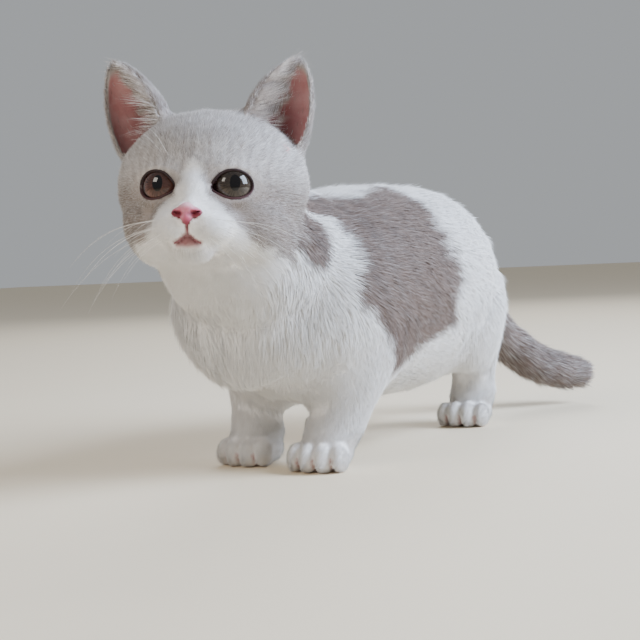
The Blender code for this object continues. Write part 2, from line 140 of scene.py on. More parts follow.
def linear(code):
    """An sRGB hex colour as the linear RGBA that shaders take."""
    parts = [int(code[i : i + 2], 16) / 255 for i in (0, 2, 4)]
    return (*(p / 12.92 if p <= 0.04045 else ((p + 0.055) / 1.055) ** 2.4 for p in parts), 1.0)


# The way the coat grows and is marked


class Growth:
    """What the coat of one part of the body is like, in millimetres and degrees."""

    def __init__(self, depth, length, width, lift, density):
        self.depth = depth  # from the skin to the coat's surface
        self.length = length
        self.width = width
        self.lift = lift
        self.density = density  # tufts to the square millimetre


GROWTHS = {
    "head": Growth(1.7, 4.2, 0.24, 13, 5.3),
    "ear": Growth(0.30, 3.2, 0.22, 17, 5.0),
    "neck": Growth(3.2, 8.4, 0.34, 8.5, 4.2),
    "torso": Growth(2.8, 8.4, 0.37, 8.5, 3.2),
    "foreleg": Growth(1.9, 5.4, 0.33, 10, 4.0),
    "hindleg": Growth(2.1, 6.4, 0.34, 12, 3.2),
    "forepaw": Growth(0.4, 2.8, 0.28, 15, 4.6),
    "hindpaw": Growth(0.4, 2.8, 0.28, 15, 4.6),
    "tail": Growth(3.2, 9.0, 0.40, 20, 2.9),
}
FACE = Growth(0.75, 2.0, 0.22, 11, 10.6)


# The kinds of skin, with the legs and paws last.
HEAD, EAR, NECK, TRUNK, TAIL, LEG, PAW = range(1, 8)
KIND = {
    "head": HEAD, "ear": EAR, "neck": NECK, "torso": TRUNK, "tail": TAIL,
    "foreleg": LEG, "hindleg": LEG, "forepaw": PAW, "hindpaw": PAW,
}


def waves(points, size, seed):
    """Smooth noise from -1 to 1 whose bumps are about size across."""
    rng = np.random.default_rng(seed)
    total = np.zeros(len(points))
    for _ in range(7):
        wave = unit(rng.normal(size=3)) * (2 * math.pi / size) * rng.uniform(0.6, 1.3)
        total += np.sin(points @ wave + rng.uniform(0, 6.28))
    return total / 3.2


# The left saddle: its front and rear edges as (height, place along the body), and its top as (place, height).
SADDLE_FRONT = [
    (38, 32), (44, 25), (51, 22), (57, 15), (62, 8.5), (69, 3), (76, 4),
    (82, 9), (87, 11), (92, 10.5), (97, 6), (100, -2), (103, -22),
]
SADDLE_REAR = [
    (36, 44), (41, 50), (46, 60), (49, 75), (52, 83), (60, 83.5),
    (69, 86), (80, 88), (90, 86), (104, 85), (110, 79), (114, 72),
]
SADDLE_TOP = [(-8, 125), (2, 108), (12, 106.5), (33, 107), (42, 106.5), (53, 109), (69, 111.5), (78, 125)]
SADDLE_FOOT = (33, 38)
RIGHT_SADDLE = ((58, 84), (41, 46))  # middle and half sizes, along the body and in height
NECK_PATCH = ((-9.5, 90), (9.5, 10))
BLAZE = [(-32, 40), (-24, 27), (-19, 19.5), (-14, 16.5), (-9, 12), (-4, 6.5), (2, 4.4), (7, 3.4), (11, -1.5)]
BLAZE_STREAKS = ((8.5, 0.62), (-8.0, 0.5))  # over the inner half of each eye: place across and strength
# grey on the lower legs, stronger toward the floor: partly their cream tone, partly painted shade
CREAM_AND_SHADE_OF_LEGS = 0.09
GREY_OF_EARS = 0.74
GREY_OF_TAIL = 0.96


def along(outline, value):
    """Reads an outline's second number off its first."""
    return np.interp(value, *zip(*outline))


def trunk_grey(body, ragged):
    """Grey of the trunk and neck: a saddle on each flank, a patch on the side of the neck, and the nape."""
    x, y, z = body.T
    # the left saddle runs from the nape to the loins, narrows below and leaves the spine white in front
    left = step(-2, 3, y - along(SADDLE_FRONT, z) + ragged) * step(3, -2, y - along(SADDLE_REAR, z) + ragged)
    left *= step(1.5, -1.5, z - along(SADDLE_TOP, y) + 0.6 * ragged)
    left *= step(*SADDLE_FOOT, z + 0.6 * ragged)
    # the right one is rounder
    wide = 5.0 * waves(body, 34, 14) + 2.2 * waves(body, 13, 15)
    (mid_y, mid_z), (half_y, half_z) = RIGHT_SADDLE
    rounded = np.hypot((y - mid_y) / half_y, (z - mid_z) / half_z) + 0.022 * wide + 0.012 * ragged
    front = 20 + 6 * np.sin(z / 9) + np.maximum(60 - z, 0) * 0.6 + wide
    right = step(1.05, 0.95, rounded) * step(-2, 3, y - front + ragged)
    right *= step(-3, -6, x + 0.6 * wide + 0.5 * ragged - 9 * (np.abs(y - 60) / 40) ** 3)
    right *= step(38, 46, z + wide + ragged)
    saddles = np.where(x > 1 + 1.5 * waves(body, 14, 8), left, right)
    (mid_y, mid_z), (half_y, half_z) = NECK_PATCH
    patch = ((y - mid_y) / half_y) ** 2 + ((z - mid_z) / half_z) ** 2
    neck = step(1.35, 0.65, patch + 0.05 * ragged) * step(17, 22, np.abs(x))
    nape = step(98, 103, z + 0.5 * ragged) * step(2, -5, y + ragged)
    return np.maximum(saddles, np.maximum(neck, nape))


def head_grey(head, ragged):
    """Grey of the head, round a white blaze that opens into the muzzle, chin and throat."""
    x, y, z = head.T
    white = step(2.4, -2.4, np.abs(x) - along(BLAZE, z) + 0.9 * waves(head, 5, 6)) * step(-3, -8, y)
    for middle, strength in BLAZE_STREAKS:
        slant = (x - middle - 0.25 * np.sign(middle) * (z - 12)) / 3.2
        streak = slant**2 + ((z - 11.5) / 5.0) ** 2 + 0.5 * waves(head, 3, 7)
        white = np.maximum(white, strength * step(1.3, 0.3, streak) * step(-5, -12, y))
    # pale hairs lie in the grey, most of them on the brow, where they make faint upright lines
    comb = np.sin(x * 1.9 + 1.5 * waves(head, 9, 12)) * step(-4, 10, z) * step(24, 14, z) * step(2, -10, y)
    white = np.maximum(white, 0.22 + 0.26 * step(-4, 9, z) + 0.12 * comb)
    cheek = 0.12 * step(9, 17, np.abs(x)) * step(2, -9, z) * step(0.9, -0.5, waves(head, 4, 9))
    white = np.maximum(white, cheek * step(4, -6, y))
    under = step(-21, -26, z + 0.25 * np.maximum(y, -12) + 0.8 * ragged)
    # grey under the lip: partly a brownish stain, partly painted shade under the chin
    chin = 0.34 * np.exp(-((x / 7.5) ** 2) - ((z + 23.5) / 2.6) ** 2) * step(-8, -16, y)
    return np.maximum(1 - np.maximum(white, under), chin)


def grey_share(body, head, kinds):
    """How grey the coat is at each point, from 0, white, to 1, by the kitten's markings, with painted shade
    low on the legs and under the chin.
    """
    ragged = 1.5 * waves(body, 9, 3) + 0.9 * waves(body, 3.5, 4)
    grey = np.where(kinds == HEAD, head_grey(head, ragged), trunk_grey(body, ragged))
    # lower legs: cream tone with painted shade, stronger toward the floor
    grey = np.where(kinds >= LEG, np.maximum(grey, CREAM_AND_SHADE_OF_LEGS * step(48, 12, body[:, 2])), grey)
    grey = np.where(kinds == EAR, GREY_OF_EARS + 0.06 * waves(body, 7, 13), grey)
    grey = np.where(kinds == TAIL, GREY_OF_TAIL, grey)
    return np.clip(grey, 0, 1)


def tabby(body, head, kinds):
    """Faint darker stripes in the grey, from 0 to 1."""
    hx, hy, hz = head.T
    y, z = body[:, 1], body[:, 2]
    brow = np.sin(np.abs(hx) * 1.05 + 0.8 * waves(head, 12, 21)) * step(6, 14, hz) * step(6, -8, hy)
    cheek = np.sin((hz + 0.35 * hy) * 0.75) * step(12, 20, np.abs(hx)) * step(4, -4, hz)
    mottle = np.maximum(waves(head, 3.4, 41) + 0.5 * waves(head, 1.7, 42), 0) * step(30, 16, np.abs(hx))
    line = np.exp(-(((np.abs(hx) - 9.5) / 0.8) ** 2)) * step(3, 6, hz) * step(14, 11, hz)
    line *= step(-20, -24, hy)
    face_mark = 0.35 * np.maximum(brow, 0) + 0.7 * np.maximum(cheek, 0) + 0.5 * mottle + 1.1 * line
    flank = np.sin((y + 0.25 * z) * 0.42 + 1.2 * waves(body, 22, 22))
    ring = np.sin((y - z) * 0.30)
    mark = np.where(kinds == HEAD, face_mark, 0.75 * np.maximum(flank, 0))
    mark = np.where(kinds == TAIL, 0.6 * np.maximum(ring, 0), mark)
    return np.clip(mark * (0.75 + 0.25 * waves(body, 4, 23)), 0, 1)


def growth_direction(body, head, normals, kinds):
    """The lie of the coat at each point, in the frame's axes, not yet laid along the skin."""
    x, y = body[:, 0], body[:, 1]
    none, one = np.zeros_like(x), np.ones_like(x)
    # trunk: backward, a little down on the flanks, and down the breast
    side = 1 - np.abs(normals[:, 2])
    breast = step(22, -6, y) * step(0.35, -0.2, normals[:, 2])
    back = np.stack([0.10 * np.sign(x), one, -0.55 * side], 1)
    down = np.stack([-0.10 * np.sign(x), 0.18 * one, -one], 1)
    flow = back * (1 - breast)[:, None] + down * breast[:, None]
    throat = step(0.55, -0.1, normals[:, 2])[:, None]
    nape = np.stack([none, one, -0.25 * one], 1)
    leg = np.stack([none, 0.25 * one, -one], 1)
    toes = np.stack([none, -one, -0.45 * one], 1)
    line = np.array(TAIL_LINE, float)
    middles = (line[1:] + line[:-1]) / 2
    nearest = np.argmin(((body[:, None, :] - middles[None]) ** 2).sum(2), 1)
    tail = unit(line[1:] - line[:-1])[nearest]
    outward = unit(head - np.array(NOSE_ROOT))
    outward[:, 1] += 0.25
    for side in (-1, 1):  # away from the lids
        away = unit(head - np.array(EYE_PLACE) * (side, 1, 1))
        near = step(1.9, 1.15, opening_share(in_eye(head, side), side))[:, None]
        outward = outward * (1 - near) + away * near
    ways = {
        HEAD: outward @ np.array(HEAD_TURN).T, NECK: nape * (1 - throat) + down * throat,
        TAIL: tail, LEG: leg, PAW: toes,
    }
    for kind, way in ways.items():
        flow = np.where((kinds == kind)[:, None], way, flow)
    for name, (base, tip, _) in EARS.items():
        axis = np.array(HEAD_TURN @ (Vector(tip) - Vector(base)).normalized())
        mine = (kinds == EAR) & ((head[:, 0] > 0) == (name == "ear_left"))
        flow = np.where(mine[:, None], axis[None], flow)
    return flow


class Hide:
    """The skin's mesh as arrays, with what the coat needs to know at each of its vertices."""

    def __init__(self, obj):
        mesh = obj.data
        self.points = read(mesh.vertices, "co", 3)
        self.normals = read(mesh.vertices, "normal", 3)
        mesh.calc_loop_triangles()
        self.triangles = read(mesh.loop_triangles, "vertices", 3, np.int32)
        self.edges = read(mesh.edges, "vertices", 2, np.int32)
        tree = KDTree(sum(len(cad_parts[name].data.vertices) for name in FLESH))
        which = []
        for i, name in enumerate(FLESH):
            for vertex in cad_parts[name].data.vertices:
                tree.insert(vertex.co, len(which))
                which.append(i)
        tree.balance()
        self.node = np.array([which[tree.find(point)[1]] for point in self.points])
        self.names = [name.split("_")[0] for name in FLESH]
        self.kinds = np.array([KIND[name] for name in self.names])[self.node]
        self.count = len(self.points)
        self.degree = np.bincount(self.edges.ravel(), minlength=self.count).astype(float)

    def renew_normals(self):
        """The vertices' normals from where the points are now."""
        a, b, c = (self.points[self.triangles[:, i]] for i in range(3))
        faces = np.cross(b - a, c - a)
        total = np.zeros_like(self.points)
        for column in range(3):
            for corner in self.triangles.T:
                total[:, column] += np.bincount(corner, faces[:, column], self.count)
        self.normals = unit(total)

    def laid(self, ways):
        """Directions at each vertex, laid along the skin."""
        return unit(ways - self.normals * (ways * self.normals).sum(1, keepdims=True))

    def blended(self, what):
        """One value of the coat's growth at each vertex, with the face's own on the face."""
        values = np.array([getattr(GROWTHS[name], what) for name in self.names])[self.node]
        return values * (1 - self.face) + getattr(FACE, what) * self.face

    def smoothed(self, values, rounds):
        """Values per vertex, averaged with their neighbours this many times."""
        a, b = self.edges.T
        flat = values.reshape(self.count, -1).astype(float)
        for _ in range(rounds):
            for column in range(flat.shape[1]):
                v = flat[:, column]
                total = np.bincount(a, v[b], self.count) + np.bincount(b, v[a], self.count)
                flat[:, column] = 0.5 * v + 0.5 * total / np.maximum(self.degree, 1)
        return flat.reshape(values.shape)


def read(items, what, width, kind=np.float32):
    values = np.empty(len(items) * width, kind)
    items.foreach_get(what, values)
    return values.reshape(-1, width).astype(np.float64 if kind is np.float32 else np.int64)


def move_vertices(mesh, points):
    mesh.vertices.foreach_set("co", np.asarray(points, np.float32).ravel())
    mesh.update()


def store(mesh, name, values):
    """Keeps one number for each vertex of a mesh under this name."""
    layer = mesh.attributes.new(name, "FLOAT", "POINT")
    layer.data.foreach_set("value", np.asarray(values, np.float32))


def face_share(head, kinds):
    """1 on the front of the face, where the coat is shortest, falling to 0 on the cheeks and crown."""
    y, z = head[:, 1], head[:, 2]
    front = step(-6, -24, y) * step(26, 6, z) * step(-31, -27, z + 0.2 * y)
    return front * (kinds == HEAD)


FAR = 99.0  # for points that are nowhere near what is measured
EYE_OPENING = (6.6, 4.85)  # half width and half height between the lids
OPENING_SHIFT = 0.2  # of the opening's middle, away from the nose
LID_CORNER = ((-5.8, -1.3), (2.4, 1.6))  # middle and half sizes of the opening's inner end


def in_eye(head, side):
    """Points of the head's millimetres in the frame of one eyeball."""
    turn = np.array(Matrix.Rotation(side * EYE_OUTWARD, 3, "Z"))
    return (head - np.array(EYE_PLACE) * (side, 1, 1)) @ turn


def opening_share(local, side):
    """How far out a point of an eyeball's frame lies between the lids: 0 in the middle, 1 at their edge."""
    x, y, z = local[:, 0] * side - OPENING_SHIFT, local[:, 1], local[:, 2]
    wide, high = EYE_OPENING
    (mid_x, mid_z), (half_x, half_z) = LID_CORNER
    oval = np.hypot(x / wide, z / high)
    corner = np.hypot((x - mid_x) / half_x, (z - mid_z) / half_z)
    return np.where(y < -2, np.minimum(oval, corner), FAR)


def lid_share(head):
    """The smaller of opening_share for the two eyes."""
    return np.minimum(opening_share(in_eye(head, 1), 1), opening_share(in_eye(head, -1), -1))


def in_paw(body):
    """Points of the body's millimetres in the frame of the nearest paw: across it and forward."""
    places = np.array([place[:2] for place in PAWS.values()])
    turns = np.radians([place[2] for place in PAWS.values()])
    nearest = np.argmin(((body[:, None, :2] - places[None]) ** 2).sum(2), 1)
    dx, dy = (body[:, :2] - places[nearest]).T
    cos, sin = np.cos(turns[nearest]), np.sin(turns[nearest])
    return cos * dx + sin * dy, sin * dx - cos * dy


TOE_CLEFTS = (-6.0, 0.0, 6.0)


def toe_cleft(body):
    """1 deep in the clefts between the toes, falling to 0 beside them."""
    across, ahead = in_paw(body)
    nearest = np.min([np.abs(across - cleft * (1 + 0.02 * ahead)) for cleft in TOE_CLEFTS], 0)
    return np.exp(-((nearest / 0.95) ** 2)) * step(1.5, 6, ahead) * step(12, 8.5, body[:, 2])


def toe_round(body):
    """1 along the middle of each toe, 0 at the clefts and on the rest of the paw."""
    across, ahead = in_paw(body)
    ridge = np.cos((np.abs(across) - 3.0) / 3.0 * math.pi / 2)
    return np.clip(ridge, 0, 1) * step(0, 6, ahead) * step(13, 9, body[:, 2]) * step(0.5, 3, body[:, 2])


# Half width of the nose leather at each height, and the line of the mouth from its corner inward.
NOSE_OUTLINE = [(-16.0, 0.9), (-14.2, 2.3), (-12.9, 4.9), (-11.6, 5.9), (-10.2, 4.6), (-9.2, 3.0)]
MOUTH_RUN = [(4.8, -21.8), (3.6, -21.4), (2.4, -20.6), (1.2, -19.6), (0.0, -18.8)]
GROOVE_TOP = (0.0, -15.5)


def nose_share(head):
    """Below 1 on the nose leather."""
    x, y, z = head.T
    bottom, top = NOSE_OUTLINE[0][0], NOSE_OUTLINE[-1][0]
    beyond = np.maximum(z - top, 0) + np.maximum(bottom - z, 0)
    share = np.abs(x) / along(NOSE_OUTLINE, z) + beyond * 0.5
    return np.where((y < -31) & (beyond < 3), share, FAR)


def mouth_distance(head):
    """Distance in millimetres, seen from in front, to the line of the mouth and the groove above it."""
    points = np.array([*MOUTH_RUN, GROOVE_TOP])
    here = np.stack([np.abs(head[:, 0]), head[:, 2]], 1)
    nearest = np.full(len(head), FAR)
    for a, b in zip(points, points[1:]):
        t = np.clip(((here - a) @ (b - a)) / ((b - a) @ (b - a)), 0, 1)
        nearest = np.minimum(nearest, np.linalg.norm(here - a - t[:, None] * (b - a), axis=1))
    return np.where(head[:, 1] < -26, nearest, FAR)


def ear_taper(share):
    """How wide the cup still is at this share of the ear's length."""
    return (1 - share**2.3) ** 0.72


def in_ear(head, name):
    """Per point: share of the ear's length, angle from the middle of its back, share of its width and side."""
    base, tip, back = (Vector(v) for v in EARS[name])
    axis = tip - base
    side = axis.cross(back).normalized()
    behind = side.cross(axis).normalized()
    offset = head - np.array(base)
    share = offset @ np.array(axis) / axis.length_squared
    taper = ear_taper(np.clip(share, 0, 0.99))
    u = (offset @ np.array(side)) / (EAR_HALF_WIDTH * taper)
    v = (offset @ np.array(behind)) / (EAR_HALF_DEPTH * taper) + CUP_SHIFT
    outside = u if (side.x > 0) == (name == "ear_left") else -u
    return share, np.degrees(np.arctan2(np.abs(u), v)), np.hypot(u, v), outside


def ear_spread(share):
    """Angle in degrees at which the cup's rim stands from the middle of its back."""
    return 128 - 44 * share


# Building blocks


def select_only(*objects):
    if bpy.context.object and bpy.context.object.mode != "OBJECT":
        bpy.ops.object.mode_set(mode="OBJECT")
    bpy.ops.object.select_all(action="DESELECT")
    for obj in objects:
        obj.select_set(True)
    bpy.context.view_layer.objects.active = objects[0]


def finish(obj, name, replaced=(), smooth=True):
    """Names the piece, puts its place into its mesh and ties it to the frame."""
    obj.name = name
    obj.data.name = name
    select_only(obj)
    bpy.ops.object.transform_apply(location=True, rotation=True, scale=True)
    if smooth:
        bpy.ops.object.shade_smooth()
    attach(obj, "root")
    if replaced:
        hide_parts(*replaced)
    return obj


def modify(obj, kind, **settings):
    """Adds a modifier with these settings and applies it."""
    select_only(obj)
    bpy.ops.object.modifier_add(type=kind)
    modifier = obj.modifiers[-1]
    for key, value in settings.items():
        setattr(modifier, key, value)
    bpy.ops.object.modifier_apply(modifier=modifier.name)


def copies_joined(names, label):
    """One object of copies of these nodes' meshes, their loose triangles merged."""
    made = []
    for name in names:
        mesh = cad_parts[name].data.copy()
        obj = bpy.data.objects.new(label, mesh)
        bpy.context.scene.collection.objects.link(obj)
        made.append(obj)
    select_only(*made)
    if len(made) > 1:
        bpy.ops.object.join()
    obj = bpy.context.object
    obj.data.materials.clear()
    bpy.ops.object.mode_set(mode="EDIT")
    bpy.ops.mesh.select_all(action="SELECT")
    bpy.ops.mesh.remove_doubles(threshold=0.00001)
    bpy.ops.mesh.normals_make_consistent(inside=False)
    bpy.ops.object.mode_set(mode="OBJECT")
    bpy.ops.object.shade_smooth()
    return obj


def node(tree, kind, inputs=None, links=None, **settings):
    """Adds a shader node with its settings, input values and links from other nodes' outputs."""
    made = tree.nodes.new(kind)
    for key, value in settings.items():
        setattr(made, key, value)
    for key, value in (inputs or {}).items():
        made.inputs[key].default_value = value
    for key, source in (links or {}).items():
        tree.links.new(source, made.inputs[key])
    return made


def new_material(name, **constants):
    """A material whose shader has these constant inputs. Returns it with its tree and shader."""
    material = bpy.data.materials.new(name)
    material.use_nodes = True
    shader = material.node_tree.nodes["Principled BSDF"]
    for key, value in constants.items():
        shader.inputs[key.replace("_", " ")].default_value = value
    return material, material.node_tree, shader


def attribute(tree, name):
    return node(tree, "ShaderNodeAttribute", attribute_name=name).outputs["Fac"]


def mix(tree, factor, first, second, blend="MIX"):
    """Mixes two colours by a factor. Each of the three is a value or another node's output."""
    made = node(tree, "ShaderNodeMix", data_type="RGBA", blend_type=blend)
    for place, value in ((0, factor), (6, first), (7, second)):
        if isinstance(value, bpy.types.NodeSocket):
            tree.links.new(value, made.inputs[place])
        else:
            made.inputs[place].default_value = value
    return made.outputs[2]


def tinted(tree, factor, colour, tint):
    """A colour that turns to its product with a tint."""
    return mix(tree, factor, colour, mix(tree, 1.0, colour, tint, "MULTIPLY"))


def curve_of(tree, value, low, high, to_low=0.0, to_high=1.0):
    """A value that runs smoothly from to_low to to_high while the given one runs from low to high."""
    inputs = {"From Min": low, "From Max": high, "To Min": to_low, "To Max": to_high}
    made = node(tree, "ShaderNodeMapRange", inputs, {"Value": value}, interpolation_type="SMOOTHSTEP")
    return made.outputs["Result"]


def vector(tree, operation, first, second=None):
    """What a vector operation makes of a node's output and, where it takes two, of a constant vector."""
    inputs = {} if second is None else {1: second}
    made = node(tree, "ShaderNodeVectorMath", inputs, {0: first}, operation=operation)
    return made.outputs["Value" if operation == "LENGTH" else "Vector"]


def own_place(tree):
    """The piece's own coordinates, in metres."""
    return node(tree, "ShaderNodeTexCoord").outputs["Object"]


def noise(tree, place, scale, detail=2.0, roughness=0.5):
    inputs = {"Scale": scale, "Detail": detail, "Roughness": roughness}
    return node(tree, "ShaderNodeTexNoise", inputs, {"Vector": place}).outputs["Fac"]


def emboss(tree, shader, height, strength, distance):
    """Raises the surface finely by another node's output, at most by the distance in metres."""
    bump = node(tree, "ShaderNodeBump", {"Strength": strength, "Distance": distance}, {"Height": height})
    tree.links.new(bump.outputs["Normal"], shader.inputs["Normal"])


# Materials


TONE_RANGE = 0.34  # how far a tuft's tone goes toward the darker hairs


def fur_colours(tree, colours):
    """White to grey by the markings and the painted shade stored with them, with the stripes and each tuft's
    own tone.
    """
    grey = mix(tree, attribute(tree, "stripe"), colours.grey, colours.stripe)
    base = mix(tree, attribute(tree, "grey"), colours.white, grey)
    darker = mix(tree, attribute(tree, "grey"), colours.white_shade, colours.shade)
    return mix(tree, attribute(tree, "vary"), base, mix(tree, TONE_RANGE, base, darker))


def coat_material(colours):
    """Fine kitten fur: each hair is a soft-shining keratin fibre, paler at the tip, with painted shade
    darkening it toward the root, deep in the coat.
    """
    found = bpy.data.materials.get("fine_fur")
    if found:
        return found
    material, tree, shader = new_material(
        "fine_fur", Roughness=0.62, Specular_IOR_Level=0.22, Sheen_Weight=0.15, Sheen_Roughness=0.45,
        Subsurface_Weight=0.2, Subsurface_Scale=0.0015, Subsurface_Radius=(1.0, 0.9, 0.85)
    )
    # painted shade: the root tint darkens each tuft toward its root, where the coat shades itself
    root = curve_of(tree, attribute(tree, "along"), 0.0, 0.8, 0.3, 0.0)
    deeper = tinted(tree, root, fur_colours(tree, colours), colours.root)
    tree.links.new(deeper, shader.inputs["Base Color"])
    return material


def skin_material(colours):
    """Skin under the coat: pink where it is bare, and undercoat of the coat's own colour elsewhere, with
    painted shade between its hairs.
    """
    material, tree, shader = new_material("coat_skin", Roughness=0.72, Specular_IOR_Level=0.25)
    place = own_place(tree)
    undercoat = noise(tree, place, 2200.0, 3.0)  # hairs about 0.4 mm apart
    # painted shade: the root tint falls in spots between the hairs, where the coat shades the skin
    shade = curve_of(tree, undercoat, 0.35, 0.7, 0.0, 0.35)
    furred = tinted(tree, shade, fur_colours(tree, colours), colours.root)
    blood = curve_of(tree, noise(tree, place, 160.0, 4.0), 0.3, 0.7)
    blush = mix(tree, blood, colours.pink, colours.deep_pink)
    bare = mix(tree, attribute(tree, "deep"), blush, colours.inner_ear)
    colour = mix(tree, attribute(tree, "bare"), furred, bare)
    colour = mix(tree, attribute(tree, "rim"), colour, colours.lid)
    tree.links.new(colour, shader.inputs["Base Color"])
    emboss(tree, shader, undercoat, 0.35, 0.0003)
    return material


def eye_material(colours, side):
    """A living eye: wet clear cornea over a fibrous iris of its side's colour, with an upright pupil."""
    material, tree, shader = new_material(
        "eyeball", Roughness=0.3, Specular_IOR_Level=0.0, Coat_Weight=1.0, Coat_Roughness=0.02, Coat_IOR=1.45
    )
    pale = colours.iris_left if side > 0 else colours.iris_right
    dark = colours.dark_left if side > 0 else colours.dark_right
    place = node(tree, "ShaderNodeUVMap", uv_map="eye").outputs["UV"]
    centred = vector(tree, "ADD", place, (-0.5, -0.5, 0.0))
    radius = vector(tree, "LENGTH", centred)
    slit = vector(tree, "LENGTH", vector(tree, "MULTIPLY", centred, (1.78, 1.12, 1.0)))
    height = node(tree, "ShaderNodeSeparateXYZ", links={"Vector": centred}).outputs["Y"]
    turn = node(tree, "ShaderNodeTexGradient", links={"Vector": centred}, gradient_type="RADIAL")
    spokes = node(tree, "ShaderNodeCombineXYZ", {"Z": 0.0}, {"X": turn.outputs["Fac"], "Y": radius})
    stretched = vector(tree, "MULTIPLY", spokes.outputs["Vector"], (90.0, 9.0, 1.0))
    fibres = noise(tree, stretched, 1.0, 4.0, 0.6)
    colour = mix(tree, curve_of(tree, fibres, 0.22, 0.78), dark, pale)
    # darker round the pupil, with painted shade of the upper lid over the top of the iris, then the ring round
    # the iris and the white's dark edge
    colour = mix(tree, curve_of(tree, radius, 0.10, 0.22, 0.5, 0.0), colour, dark)
    # painted shade: the top of the iris darkens under the upper lid
    colour = mix(tree, curve_of(tree, height, -0.06, 0.20, 0.0, 0.75), colour, dark)
    colour = mix(tree, curve_of(tree, radius, 0.21, 0.275), colour, colours.limbus)
    colour = mix(tree, curve_of(tree, radius, 0.29, 0.31), colour, colours.sclera)
    colour = mix(tree, curve_of(tree, slit, 0.112, 0.128, 1.0, 0.0), colour, colours.pupil)
    tree.links.new(colour, shader.inputs["Base Color"])
    return material


def leather_material(colours):
    """Nose leather: moist bare skin, pebbled about 0.3 mm across, with painted shade, dark red, in the
    nostrils, and darker toward its bottom.
    """
    material, tree, shader = new_material(
        "nose_leather", Roughness=0.55, IOR=1.4, Subsurface_Weight=0.15, Subsurface_Scale=0.002,
        Coat_Weight=0.08, Coat_Roughness=0.35
    )
    place = own_place(tree)
    pebbles = node(tree, "ShaderNodeTexVoronoi", {"Scale": 2900.0}, {"Vector": place}, feature="F1")
    blotch = curve_of(tree, noise(tree, place, 420.0, 3.0), 0.3, 0.7, 0.0, 0.35)
    colour = mix(tree, blotch, colours.nose, colours.nose_light)
    colour = mix(tree, attribute(tree, "pale"), colour, colours.nose_light)
    # painted shade: dark red in the nostril openings, and darker toward the leather's bottom
    colour = mix(tree, attribute(tree, "deep"), colour, colours.nostril)
    tree.links.new(colour, shader.inputs["Base Color"])
    emboss(tree, shader, pebbles.outputs["Distance"], 0.25, 0.00012)
    return material


def plain_skin(name, colour, roughness, crease_scale, other=None):
    """Bare skin of the lids, lips and pads, finely creased with painted shade in the creases, and of the other
    colour where it is pale.
    """
    material, tree, shader = new_material(
        name, Roughness=roughness, IOR=1.42, Coat_Weight=0.1, Coat_Roughness=0.35
    )
    creases = noise(tree, own_place(tree), crease_scale, 4.0)
    # painted shade: the skin darkens where the creases' bump runs low
    darker = (*(part * 0.55 for part in colour[:3]), 1.0)
    creased = mix(tree, curve_of(tree, creases, 0.35, 0.7), darker, colour)
    if other is not None:
        creased = mix(tree, attribute(tree, "pale"), creased, other)
    tree.links.new(creased, shader.inputs["Base Color"])
    emboss(tree, shader, creases, 0.3, 0.0001)
    return material


def hair_material(name, roughness, dark, light):
    """Single hairs that catch the light along one line. Their tone wanders a little."""
    material, tree, shader = new_material(name, Roughness=roughness, IOR=1.55)
    tone = curve_of(tree, noise(tree, own_place(tree), 260.0), 0.3, 0.7)
    tree.links.new(mix(tree, tone, dark, light), shader.inputs["Base Color"])
    return material


# Settings


def colour_setting(name, description, code):
    return bpy.props.FloatVectorProperty(
        name=name, description=description, default=linear(code), size=4, min=0.0, max=1.0, subtype="COLOR"
    )


def size_setting(name, description, default):
    return bpy.props.FloatProperty(
        name=name, description=description + ", in millimetres", default=default, min=0.0, precision=3
    )


def factor_setting(name, description, default):
    return bpy.props.FloatProperty(
        name=name, description=description, default=default, min=0.0, max=2.0, subtype="FACTOR"
    )


class KittenColours(bpy.types.PropertyGroup):
    white: colour_setting("White", "Coat where it is white", "FAF8F6")
    grey: colour_setting("Grey", "Coat where it is grey", "756157")
    stripe: colour_setting("Stripe", "Faint stripes in the grey", "5D504A")
    shade: colour_setting("Shade", "Darker hairs in the grey", "5E524D")
    white_shade: colour_setting("White shade", "Darker hairs in the white", "DEDAD6")
    # painted shade deep in the coat: the tint toward the tufts' roots and between the hairs on the skin
    root: colour_setting("Root", "Tint of the coat at its roots", "E2D8D2")
    pink: colour_setting("Pink", "Bare skin", "D8A9A6")
    deep_pink: colour_setting("Deep pink", "Bare skin where blood shows", "C48A88")
    # dark red of the deepest skin: the lips' own colour, and painted shade in the ear's cavity, under the nose
    # leather and between the toes
    inner_ear: colour_setting("Inner ear", "Depth of the ear", "682A2C")
    ear_hair: colour_setting("Ear hair", "Long hairs in the ears", "F0EAE6")
    ear_shade: colour_setting("Ear shade", "Darker hairs in the ears", "BDB1AB")
    iris_left: colour_setting("Left iris", "Lighter fibres of the left iris", "564A3F")
    dark_left: colour_setting("Dark of the left iris", "Darker fibres of the left iris", "18120F")
    iris_right: colour_setting("Right iris", "Lighter fibres of the right iris", "7A5147")
    dark_right: colour_setting("Dark of the right iris", "Darker fibres of the right iris", "241510")
    limbus: colour_setting("Limbus", "Dark ring round the iris", "1D1213")
    sclera: colour_setting("Sclera", "Edge of the eyeball", "3A2625")
    pupil: colour_setting("Pupil", "Pupil of both eyes", "080506")
    lid: colour_setting("Lid rim", "Bare edge of the lids", "2A1113")
    nose: colour_setting("Nose", "Nose leather", "C4607A")
    nose_light: colour_setting("Light nose", "Top of the nose leather", "DBA9B0")
    # painted shade inside the nostrils
    nostril: colour_setting("Nostril", "Inside of the nostrils", "6A1426")
    lip: colour_setting("Lip", "Edge of the lips", "A8686E")
    pad: colour_setting("Pad", "Pads under the paws", "D99A98")
    whisker: colour_setting("Whisker", "Lighter parts of the whiskers", "F4F1EE")
    whisker_shade: colour_setting("Whisker shade", "Darker parts of the whiskers", "DDD8D2")
    floor: colour_setting("Floor", "Plain pale floor", "ECDCC0")


